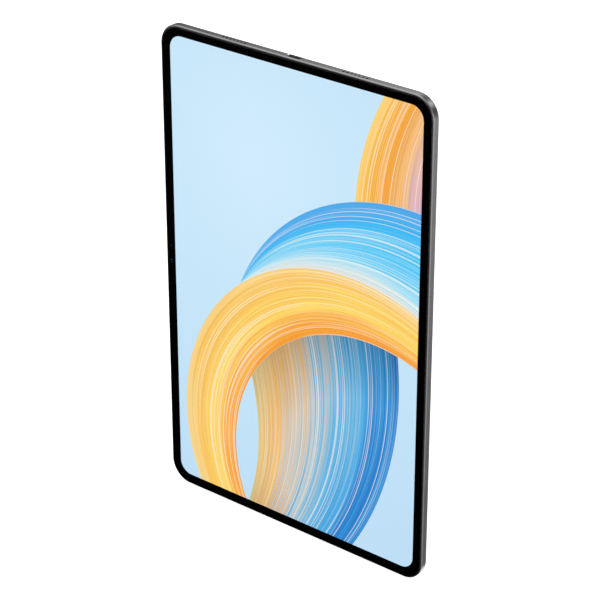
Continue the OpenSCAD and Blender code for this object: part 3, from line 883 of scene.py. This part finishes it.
def woven_mesh(name):
    """Fine black mesh: round wires over and under each other, with open squares between."""
    finish = Finish(name)
    x, y, _ = finish.xyz()
    pitch = 0.16
    warp = finish.add("ShaderNodeMath", {"operation": "SINE"}, {"Value": x * (2 * math.pi / pitch)})
    weft = finish.add("ShaderNodeMath", {"operation": "SINE"}, {"Value": y * (2 * math.pi / pitch)})
    wires = warp.math("MAXIMUM", warp, weft) * 0.5 + 0.5
    finish.feed(
        Base_Color=finish.mix(wires, (0.001, 0.001, 0.001), (0.03, 0.03, 0.032)),
        Roughness=wires * -0.25 + 0.75,
    )
    finish.relief(wires, 0.04, 0.9)
    return finish.material


dress(moulding, "speaker_boxes_top", "speaker_boxes_bottom")
dress(satin_metal("driver_metal"), "speaker_drivers")
dress(woven_mesh("woven_mesh"), "speaker_meshes")
dress(gold, "microphones")

# ---- Keys ----
# The power key and the volume rocker are milled bars of the housing's alloy with a polished edge.
# Each hangs in its opening on a flange and works a dome switch on a steel bracket.

key_blasted = bead_blasted("key_blasted", 0.2, 0.34)
key_cut = fresh_cut("key_cut", 0.42)


def key_parts(half_length, spot, axes, flange_back, flange_extra, stems):
    """A bar with round ends and a polished edge, its flange inside the wall, and its stems. Heights
    count out of the wall from the spot."""
    edge = 0.14
    bar = [(KEY_HALF_T, flange_back), (KEY_HALF_T, -edge)]
    bar += [(KEY_HALF_T - edge, 0), (KEY_HALF_T - edge - 0.1, 0.0)]
    made = [
        carried(
            rim_path(half_length, KEY_HALF_T, KEY_HALF_T, 20, 12), bar, spot, axes,
            paint=[0, 1, 0],
        )
    ]
    flange = [(0.2, flange_back - 0.6), (0.3, flange_back - 0.5), (0.3, flange_back - 0.1)]
    flange.append((0.2, flange_back))
    flange_path = rim_path(half_length + flange_extra, KEY_HALF_T + 0.12, 0.3, 6, 8)
    made.append(carried(flange_path, flange, spot, axes))
    for shift, depth in stems:
        stem = [(0.25, flange_back - 0.6 - depth), (0.25, flange_back - 0.55)]
        moved = [s + a * shift * MM for s, a in zip(spot, axes[0])]
        made.append(carried(rim_path(1.1, 0.8, 0.25, 5, 3), stem, moved, axes))
    return made


KEY_PROUD = 0.35
power_low, power_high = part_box("power_button")
power_spot = ((power_low.x + power_high.x) / 2, -SLOT_HEIGHT * MM, power_low.z)
power_key = piece(
    "power_key",
    key_parts(POWER_HALF, power_spot, BOTTOM_WALL, -(KEY_PROUD + WALL + 0.05 - 0.1), 1.2, [(0, 0.5)]),
    [key_blasted, key_cut],
)
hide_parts("power_button")
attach(power_key, "power_button")

volume_low, volume_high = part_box("volume_rocker")
volume_spot = (volume_low.x, -SLOT_HEIGHT * MM, (volume_low.z + volume_high.z) / 2)
volume_key = piece(
    "volume_key",
    key_parts(
        VOLUME_HALF, volume_spot, LEFT_WALL, -(KEY_PROUD + WALL + 0.35), 1.3,
        [(-8, 0.33), (8, 0.33)],
    ),
    [key_blasted, key_cut],
)
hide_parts("volume_rocker")
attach(volume_key, "volume_rocker")

bracket_steel = drawn_steel("bracket_steel", 0.42, 0.3)
switch_plate = satin_metal("switch_plate", 0.6, 0.24)
dress(switch_plate, "power_switch", "volume_switches")
dress(bracket_steel, "power_bracket", "volume_bracket")
dress(flex, "key_flex")

# ---- Battery ----
# Two pouch cells in dark laminated foil, held to the floor of the tray by white stretch-release
# tape, with a narrow board along their upper edge.


def laminated_foil(name):
    """Matt laminated foil, slightly pillowed, with soft creases and a fine embossed grid."""
    finish = Finish(name, Metallic=0.55)
    x, _, z = finish.xyz()
    crease = finish.noise((26.0, 26.0, 14.0), 4.0, 0.6)
    grid = ((x % 0.8) / 0.8 < 0.12) + ((z % 0.8) / 0.8 < 0.12)
    finish.feed(
        Base_Color=finish.mix(crease, (0.03, 0.031, 0.034), (0.085, 0.087, 0.092)),
        Roughness=crease * 0.2 + 0.34,
    )
    finish.relief(crease * 1.0 + grid.clipped() * 0.03, 0.35, 0.7)
    return finish.material


# White stretch-release tape with drawn fibres along its length
TAPE_WHITES = ((0.6, 0.6, 0.56), (0.86, 0.86, 0.82))
tape = grained(
    "stretch_tape", (0.12, 1.0, 6.0), 3.0, TAPE_WHITES, (0.5, 0.2), (0.01, 0.6),
    Specular_IOR_Level=0.3,
)
dress(laminated_foil("pouch_foil"), "battery_cell_left", "battery_cell_right")
dress(tape, "battery_tape")
dress(board_mask, "battery_board")
dress(flex, "battery_flex")

# ---- Mainboard ----
# A green board with the processor and memory under two tinned shields, a row of cream connectors
# along its lower edge, and seven screws into the posts.


def tinned_sheet(name):
    """Tinned shield: a soft mottle and a grid of small vent holes."""
    finish = Finish(name, Metallic=1.0)
    x, _, z = finish.xyz()
    mottle = finish.noise(1.6, 3.0)
    pitch = 3.2
    px = (x % pitch) - pitch / 2
    pz = (z % pitch) - pitch / 2
    hole = (px * px + pz * pz) ** 0.5 < 0.55
    metal = finish.mix(mottle, (0.46, 0.465, 0.48), (0.66, 0.665, 0.68))
    finish.feed(
        Base_Color=finish.mix(hole, metal, (0.02, 0.02, 0.02)),
        Roughness=mottle * 0.2 + 0.22,
    )
    finish.relief(hole * -1.0 + mottle * 0.05, 0.12, 0.8)
    return finish.material


def moulded_epoxy(name):
    """Black moulded epoxy chip: fine filler grain and an even satin."""
    finish = Finish(name)
    filler = finish.noise(0.06)
    patch = finish.noise(3.0)
    finish.feed(
        Base_Color=finish.mix(filler, (0.01, 0.01, 0.011), (0.028, 0.028, 0.03)),
        Roughness=patch * 0.16 + 0.36,
    )
    finish.relief(filler, 0.006, 0.7)
    return finish.material


def connector_resin(name):
    """Cream connector body with rows of gold legs along its two long edges."""
    finish = Finish(name)
    x, _, z = finish.xyz()
    low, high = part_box("board_connectors")
    middle = abs(z - (low.z + high.z) / 2 / MM)
    legs = ((x % 0.4) / 0.4 < 0.5) * (middle > 1.05)
    cream = finish.noise(0.6)
    resin = finish.mix(cream, (0.66, 0.6, 0.46), (0.8, 0.74, 0.6))
    finish.feed(
        Base_Color=finish.mix(legs, resin, (0.78, 0.55, 0.2)),
        Metallic=legs,
        Roughness=cream * 0.1 + 0.35,
    )
    finish.relief(legs, 0.04, 0.6)
    return finish.material


epoxy = moulded_epoxy("moulded_epoxy")
dress(board_mask, "mainboard")
dress(tinned_sheet("tinned_sheet"), "shield_cans")
dress(epoxy, "processor", "memory_chips")
dress(connector_resin("connector_resin"), "board_connectors")
dress(satin_metal("zinc_plate", 0.55, 0.22), "board_screws")

# ---- Radio and magnets ----
# Printed antennas on the floor near two corners, thin coaxial leads to the mainboard, and a row of
# magnets behind the right wall that hold a stylus.

# Thin extruded black jacket with faint draw lines
JACKETS = ((0.012, 0.012, 0.013), (0.035, 0.035, 0.037))
jacket = grained("cable_jacket", (0.08, 0.08, 5.0), 2.0, JACKETS, (0.38, 0.15), (0.004, 1.0))
dress(gold, "antennas")
dress(jacket, "antenna_cables")
dress(satin_metal("nickel_plate", 0.58, 0.16), "edge_magnets")

# ---- Front camera and light sensor ----
# The camera's nose stands in the long left border, behind a clear spot in the black print, on a
# small moulded base. The light sensor is a black chip under a dot of tinted ink.
nose_low, nose_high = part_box("front_camera")
front_lens_low, front_lens_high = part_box("front_camera_lens")
front_spot = (front_lens_low + front_lens_high) / 2
front_spot.y = 0
NOSE_TOP = -nose_low.y / MM
nose_form = [
    (0.3, 3.8), (1.15, 3.8), (1.15, NOSE_TOP - 0.08), (1.07, NOSE_TOP), (0.97, NOSE_TOP),
    (0.9, NOSE_TOP - 0.07), (0.86, NOSE_TOP - 0.44), (0.3, NOSE_TOP - 0.45),
]
base_spot = ((front_spot.x - 0.7 * MM + nose_high.x) / 2, 0, 0)
base_form = [(0.2, 2.6), (0.3, 2.7), (0.3, 3.8), (0.2, 3.9)]
base_path = rim_path((nose_high.x - base_spot[0]) / MM, 3.0, 0.3, 6, 4)
nose = piece(
    "front_camera_nose",
    [
        carried(POINT, nose_form, front_spot, FLAT_AXES),
        carried(base_path, base_form, base_spot, FLAT_AXES),
    ],
    [moulding],
)
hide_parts("front_camera")
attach(nose, "tablet")

FRONT_LENS_R = 0.85
front_base = -front_lens_high.y / MM
front_lens = piece(
    "front_lens_dome",
    [carried(POINT, dome(FRONT_LENS_R, front_base, front_base + 0.06, 0.27), front_spot, FLAT_AXES)],
    [coated_lens("front_coating", front_spot, FRONT_LENS_R)],
)
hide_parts("front_camera_lens")
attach(front_lens, "tablet")
dress(flex, "front_camera_flex")
dress(epoxy, "light_sensor")

# ---- Display ----
# A thin lit panel on a steel sheet, with a graphite sheet that spreads its heat. Its flexible tail
# folds round the lower edge to the driver chip, and a long cable runs on to the mainboard.

# Pressed graphite: dark satin flakes
GRAPHITES = ((0.025, 0.026, 0.028), (0.075, 0.077, 0.082))
graphite = grained(
    "pressed_graphite", 0.7, 4.0, GRAPHITES, (0.35, 0.25), (0.01, 1.0), 0.65, Metallic=0.4
)
dress(drawn_steel("support_sheet", 0.48, 0.3), "panel_support")
dress(graphite, "graphite_sheet")
dress(flex, "display_flex", "display_cable")
dress(epoxy, "display_driver")


def screen_colour(red, green, blue):
    """A colour as a screen names it, 0 to 255 a channel, turned into light."""
    share = np.array([red, green, blue]) / 255
    light = np.where(share <= 0.04045, share / 12.92, ((share + 0.055) / 1.055) ** 2.4)
    return tuple(float(v) for v in light)


def sweep(finish, place, outer, inner, threads, seed, stops):
    """A broad sweep of fine threads between two circles: its colour, and 1 where it lies. A thread
    keeps its share of the way from the outer circle to the inner one, so the threads draw together
    where the circles do, and their colours change slowly along them."""
    x, z = place
    gaps = []
    for (centre_x, centre_z, radius), sign in ((outer, -1), (inner, 1)):
        across = x - centre_x
        up = z - centre_z
        distance = (across * across + up * up) ** 0.5
        gaps.append((distance - radius) * sign)
    share = gaps[0] / (gaps[0] + gaps[1])
    turn = up.math("ARCTAN2", across, up)
    lane = finish.grain(share * threads, turn * 0.7, seed, 3.0, 0.7)
    broad = finish.grain(share * (threads / 12), turn * 1.1, seed + 5.5, 1.0)
    tone = share + (lane - 0.5) * 1.1 + (broad - 0.5) * 0.6
    colour = finish.ramp(tone.clipped(), stops)
    thread = finish.grain(share * (threads * 1.6), turn * 0.8, seed + 11.5, 0.0)
    bright = ((thread - 0.6) * 9.0).clipped() * 0.55
    colour = finish.mix(bright, colour, screen_colour(255, 246, 230))
    dark = ((0.4 - thread) * 7.0).clipped() * 0.28
    colour = finish.mix(dark, colour, shade(finish, colour, 0.6))
    edge = 0.18
    cover = (gaps[0] / edge).clipped() * (gaps[1] / edge).clipped()
    return colour, cover, gaps


def shade(finish, colour, level):
    """A colour made darker: multiplied by a level from 0 to 1."""
    return finish.add(
        "ShaderNodeVectorMath", {"operation": "SCALE"}, {"Vector": colour, "Scale": level}
    )


def stops_of(*colours):
    """Ramp stops at even steps from colours named as a screen names them."""
    last = len(colours) - 1
    return [(i / last, screen_colour(*colour)) for i, colour in enumerate(colours)]


WARM = stops_of((255, 214, 120), (250, 184, 78), (244, 162, 58), (248, 196, 130), (206, 172, 212))
COOL = stops_of((84, 172, 236), (64, 186, 246), (96, 204, 248), (168, 228, 250), (232, 232, 224))
GOLDEN = stops_of((250, 214, 136), (252, 196, 92), (255, 222, 112), (252, 184, 84), (248, 158, 52))
FAN = stops_of(
    (44, 128, 204), (70, 164, 226), (110, 188, 230), (204, 204, 198), (252, 192, 108), (255, 226, 158)
)
SCREEN_LIGHT = 1.09


def lit_picture(name):
    """The lit screen: a pale blue ground crossed by four plain sweeps of fine threads that pass
    over each other, the lowest darker where it comes out from under the next."""
    finish = Finish(
        name, Base_Color=(0.0, 0.0, 0.0), Roughness=0.6, Specular_IOR_Level=0.0,
        Emission_Strength=SCREEN_LIGHT,
    )
    x, _, z = finish.xyz()
    place = (x, z)
    glow = ((x + 25.0) * (x + 25.0) + (z - 75.0) * (z - 75.0)) ** 0.5
    ground = finish.ramp(
        (glow / 210.0).clipped(),
        [(0.0, screen_colour(208, 235, 253)), (0.5, screen_colour(198, 229, 249)),
         (1.0, screen_colour(190, 223, 246))],
    )
    golden_edge = (36, -85, 112)
    golden_hollow = (50, -96, 90)
    rising, rising_cover, _ = sweep(finish, place, (190, 60, 150), (205, 75, 121), 44, 3.0, WARM)
    cool, cool_cover, _ = sweep(finish, place, (75, -45, 120), golden_edge, 56, 9.0, COOL)
    golden_sweep = sweep(finish, place, golden_edge, golden_hollow, 44, 17.0, GOLDEN)
    golden, golden_cover, golden_gaps = golden_sweep
    fan, fan_cover, _ = sweep(finish, place, (-120, -30, 190), (-164, -86, 140), 84, 23.0, FAN)

    below_golden = ((golden_gaps[1] * -1.0) / 34.0).clipped() * 0.4 + 0.6
    colour = finish.mix(rising_cover * (z > 30.0), ground, rising)
    colour = finish.mix(cool_cover * (z > -60.0), colour, cool)
    colour = finish.mix(
        fan_cover * (golden_gaps[1] < 0.0), colour, shade(finish, fan, below_golden)
    )
    colour = finish.mix(golden_cover, colour, golden)
    finish.feed(Emission_Color=colour)
    return finish.material


panel_low, panel_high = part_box("display_panel")
PANEL_HALF_W, _, PANEL_HALF_H = half_size(panel_low, panel_high)
PANEL_R = 8.35
panel_top = -panel_low.y / MM - 0.006
panel_form = [(PANEL_R - 1, -panel_high.y / MM), (PANEL_R, -panel_high.y / MM), (PANEL_R, panel_top)]
panel_form.append((PANEL_R - 1, panel_top))
picture = piece(
    "lit_panel",
    [carried(rim_path(PANEL_HALF_W, PANEL_HALF_H, PANEL_R, 16, 4), panel_form, (0, 0, 0), FLAT_AXES)],
    [lit_picture("lit_picture")],
)
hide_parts("display_panel")
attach(picture, "tablet")


def clear_film(name, tint, alpha, cell):
    """Clear film bonded to the panel, with a barely seen grid of touch electrodes."""
    finish = Finish(name, Base_Color=tint, Specular_IOR_Level=0.1)
    x, _, z = finish.xyz()
    grid = (((x + z) % cell) / cell < 0.05) + (((x - z) % cell) / cell < 0.05)
    haze = finish.noise(5.0)
    finish.feed(Alpha=grid.clipped() * 0.004 + alpha, Roughness=haze * 0.05 + 0.08)
    finish.material.surface_render_method = "BLENDED"
    return finish.material


dress(clear_film("touch_film", (0.7, 0.75, 0.8), 0.008, 4.2), "touch_sensor")
dress(clear_film("clear_adhesive", (0.8, 0.85, 0.9), 0.006, 300.0), "optical_adhesive")

# ---- Front glass ----
# One sheet of strengthened glass with a rounded edge, printed black round the picture on its inner
# side and held to the tray's ledge by a narrow frame of black foam tape.


def foam_tape(name):
    """Black closed-cell foam tape."""
    finish = Finish(name)
    x, y, z = finish.xyz()
    cells = finish.add(
        "ShaderNodeTexVoronoi",
        {"feature": "F1"},
        {"Vector": finish.join(x / 0.12, y / 0.12, z / 0.12), "Scale": 1.0},
        "Distance",
    )
    finish.feed(
        Base_Color=finish.mix(cells, (0.006, 0.006, 0.006), (0.03, 0.03, 0.03)),
        Roughness=cells * 0.2 + 0.7,
    )
    finish.relief(cells, 0.03)
    return finish.material


dress(foam_tape("foam_tape"), "glass_adhesive")

ink_low, ink_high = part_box("ink_border")
INK_HALF_W, _, INK_HALF_H = half_size(ink_low, ink_high)
INK_R = 11.3
SCREEN_HALF_W = 81.22
SCREEN_HALF_H = 130.2
SCREEN_R = 7.4
INK_BASE = -ink_high.y / MM
INK_TOP = -ink_low.y / MM - 0.004


def framed(outer, inner, low, high):
    """A flat frame between two outlines with the same stations: outer wall, face, inner wall, back.
    Each is a pair of stations and a distance, so that core + distance * out lies on it."""
    loops = [path[0] + distance * path[1] for path, distance in (outer, outer, inner, inner)]
    heights = (low, high, high, low)
    points = np.concatenate(
        [np.insert(np.asarray(loop), 1, -level, 1) for loop, level in zip(loops, heights)]
    ) * MM
    index = np.arange(len(points)).reshape(4, -1)
    ahead = np.roll(index, -1, 1)
    quads = np.stack([index, ahead, np.roll(ahead, -1, 0), np.roll(index, -1, 0)], -1)
    return points, quads.reshape(-1, 4).tolist(), [0] * index.size


ink_outer = rim_path(INK_HALF_W, INK_HALF_H, INK_R, 24, 8)
ink_inner = rim_path(SCREEN_HALF_W, SCREEN_HALF_H, SCREEN_R, 24, 8)
border = piece(
    "border_print",
    [framed((ink_outer, INK_R), (ink_inner, SCREEN_R), INK_BASE, INK_TOP)],
    [black_print("border_black", 0.001, 0.3)],
)
CAMERA_SPOT_R = 1.3
SENSOR_SPOT_R = 0.6
clear_spot = [(CAMERA_SPOT_R, INK_BASE - 0.5), (CAMERA_SPOT_R, INK_TOP + 0.5)]
sensor_spot = [(SENSOR_SPOT_R, INK_BASE - 0.5), (SENSOR_SPOT_R, INK_TOP + 0.5)]
sensor_low, sensor_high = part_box("light_sensor")
milled(
    border,
    [
        carried(POINT, clear_spot, front_spot, FLAT_AXES),
        carried(POINT, sensor_spot, (front_spot.x, 0, (sensor_low.z + sensor_high.z) / 2), FLAT_AXES),
    ],
)
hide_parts("ink_border")
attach(border, "tablet")

glass_low, glass_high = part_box("cover_glass")
GLASS_HALF_W, _, GLASS_HALF_H = half_size(glass_low, glass_high)
GLASS_R = 11.4
GLASS_TOP = -glass_low.y / MM
GLASS_BASE = -glass_high.y / MM
GLASS_EDGE_W = 0.9
GLASS_EDGE_T = 0.35


def front_glass(name):
    """Strengthened glass: clear in the middle, with an antireflective coat, and darkened at its rounded
    rim by a painted shade, in place of the dark view that the curved edge bends and reflects."""
    finish = Finish(name, Base_Color=(0.004, 0.004, 0.005), IOR=1.5)
    x, _, z = finish.xyz()
    beyond_x = abs(x).math("MAXIMUM", abs(x) - (GLASS_HALF_W - GLASS_R), 0.0)
    beyond_z = abs(z).math("MAXIMUM", abs(z) - (GLASS_HALF_H - GLASS_R), 0.0)
    out = (beyond_x * beyond_x + beyond_z * beyond_z) ** 0.5
    # Painted shade: the rounded rim is made nearly opaque and black
    rim = ((out - (GLASS_R - GLASS_EDGE_W)) / 0.25).clipped()
    smear = finish.noise((16.0, 16.0, 9.0), 4.0, 0.6)
    finish.feed(Alpha=rim * 0.62 + 0.03, Roughness=smear * 0.05 + 0.02)
    finish.material.surface_render_method = "BLENDED"
    return finish.material


glass_form = [(GLASS_R - 1, GLASS_BASE), (GLASS_R, GLASS_BASE), (GLASS_R, GLASS_TOP - GLASS_EDGE_T)]
glass_form += quarter(glass_form[-1], (GLASS_R - GLASS_EDGE_W, GLASS_TOP), 12, True)
glass_form.append((GLASS_R - GLASS_EDGE_W - HOLD, GLASS_TOP))
glass = piece(
    "front_cover",
    [carried(rim_path(GLASS_HALF_W, GLASS_HALF_H, GLASS_R, 32, 8), glass_form, (0, 0, 0), FLAT_AXES)],
    [front_glass("front_glass")],
)
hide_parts("cover_glass")
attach(glass, "tablet")

# ---- Studio ----
# A plain pale floor that the lower edge stands on and a plain backdrop far behind it, both only
# seen. Soft boxes in the world light the tablet from every side, and one lamp from above.


def stage_sheet(name, size, height, material):
    """A flat square sheet in the studio."""
    corners = [(x * size / 2, y * size / 2, height) for x, y in ((-1, -1), (1, -1), (1, 1), (-1, 1))]
    mesh = bpy.data.meshes.new(name)
    mesh.from_pydata(corners, [], [(0, 1, 2, 3)])
    mesh.materials.append(material)
    sheet = bpy.data.objects.new(name, mesh)
    bpy.context.scene.collection.objects.link(sheet)
    return sheet


def seen_only(thing):
    """Shows a thing to the camera and keeps its light and its mirror image off the object."""
    thing.visible_diffuse = False
    thing.visible_glossy = False
    thing.visible_transmission = False
    thing.visible_volume_scatter = False


floor_paint = Finish("pale_floor", Roughness=0.9, Specular_IOR_Level=0.0, Emission_Strength=0.95)
floor_tone = floor_paint.noise(60.0)
floor_paint.feed(
    Base_Color=floor_paint.mix(floor_tone, (0.9, 0.9, 0.9), (0.93, 0.93, 0.93)),
    Emission_Color=floor_paint.mix(floor_tone, (0.97, 0.97, 0.97), (1.0, 1.0, 1.0)),
)
floor_height = cad_low.z - 0.0002
FLOOR_SIZE = 30.0
floor = stage_sheet("studio_floor", FLOOR_SIZE, floor_height, floor_paint.material)
seen_only(floor)

# An upright drum with flat ends, its radius and heights in millimetres
backdrop_paint = Finish(
    "pale_backdrop", Base_Color=(0.0, 0.0, 0.0), Emission_Color=(1.0, 1.0, 1.0), Emission_Strength=1.0
)
BACKDROP_R = 12.0e3
backdrop_form = [(BACKDROP_R, -0.5e3), (BACKDROP_R, 8.0e3)]
backdrop = piece(
    "studio_backdrop",
    [carried(POINT, backdrop_form, (0, 0, 0), ((1, 0, 0), (0, 1, 0), (0, 0, 1)))],
    [backdrop_paint.material],
)
seen_only(backdrop)
backdrop.visible_shadow = False

world = bpy.data.worlds.new("soft_room")
bpy.context.scene.world = world
world.use_nodes = True
room = Nodes(world.node_tree)
sky = world.node_tree.nodes["Background"]
direction = room.add("ShaderNodeTexCoord", output="Generated")


def towards(aim):
    """The cosine of the angle between a ray and an aim."""
    inputs = {"Vector": direction, "Vector_001": tuple(Vector(aim).normalized())}
    return room.add("ShaderNodeVectorMath", {"operation": "DOT_PRODUCT"}, inputs, "Value")


# Soft boxes round the tablet: where each stands, how narrow its glow is, and how bright. A box
# gives bright * cosine ** narrow.
SOFT_BOXES = (
    ((-0.35, 0.87, 0.38), 32.0, 2.6),
    ((0.37, 0.757, 0.54), 60.0, 2.8),
    ((0.45, 0.82, -0.25), 40.0, 2.0),
    ((0.45, -0.87, -0.2), 20.0, 1.0),
    ((0.69, -0.57, -0.45), 8.0, 0.8),
    ((-0.4, -0.8, 0.45), 15.0, 0.8),
    ((-0.7, -0.69, -0.12), 60.0, 0.9),
    ((-0.6, -0.75, 0.35), 8.0, 0.3),
    ((0.0, 0.7, -0.72), 24.0, 3.0),
)
fill = towards((0.7, 0.0, 0.714)) * 0.5 + 0.5
glow = fill ** 4.0 * 0.4 + 0.012
for aim, narrow, bright in SOFT_BOXES:
    near = towards(aim)
    glow = glow + near.math("MAXIMUM", near, 0.0) ** narrow * bright
plug(world.node_tree, sky.inputs["Strength"], glow)
sky.inputs["Color"].default_value = (1.0, 1.0, 1.0, 1.0)


def soft_lamp(name, place, target, size, watts):
    """A square soft lamp at a place in metres, turned towards a target."""
    data = bpy.data.lights.new(name, "AREA")
    data.size = size
    data.energy = watts
    lamp = bpy.data.objects.new(name, data)
    lamp.location = place
    lamp.rotation_euler = (Vector(target) - Vector(place)).to_track_quat("-Z", "Y").to_euler()
    bpy.context.scene.collection.objects.link(lamp)


soft_lamp("lamp_above", (1.2, 0.4, 2.0), (0, 0, 0), 1.4, 22.0)

# ---- Camera ----
# A long lens a little above the tablet's upper right, level and unshifted.
AZIMUTH = math.radians(39.24)
ELEVATION = math.radians(26.51)
DISTANCE = 1.1837
AIM_X = 0.005344
AIM_Z = 0.00446
FOCAL_MM = 137.35
SENSOR_MM = 36.0
aim = Vector((AIM_X, panel_low.y - 0.0003, AIM_Z))
back = Vector((
    math.sin(AZIMUTH) * math.cos(ELEVATION),
    -math.cos(AZIMUTH) * math.cos(ELEVATION),
    math.sin(ELEVATION),
))
lens = bpy.data.cameras.new("camera")
lens.lens = FOCAL_MM
lens.sensor_width = SENSOR_MM
camera = bpy.data.objects.new("camera", lens)
camera.location = aim + back * DISTANCE
camera.rotation_euler = (-back).to_track_quat("-Z", "Y").to_euler()
bpy.context.scene.collection.objects.link(camera)
bpy.context.scene.camera = camera
bpy.context.scene.view_settings.view_transform = "Standard"
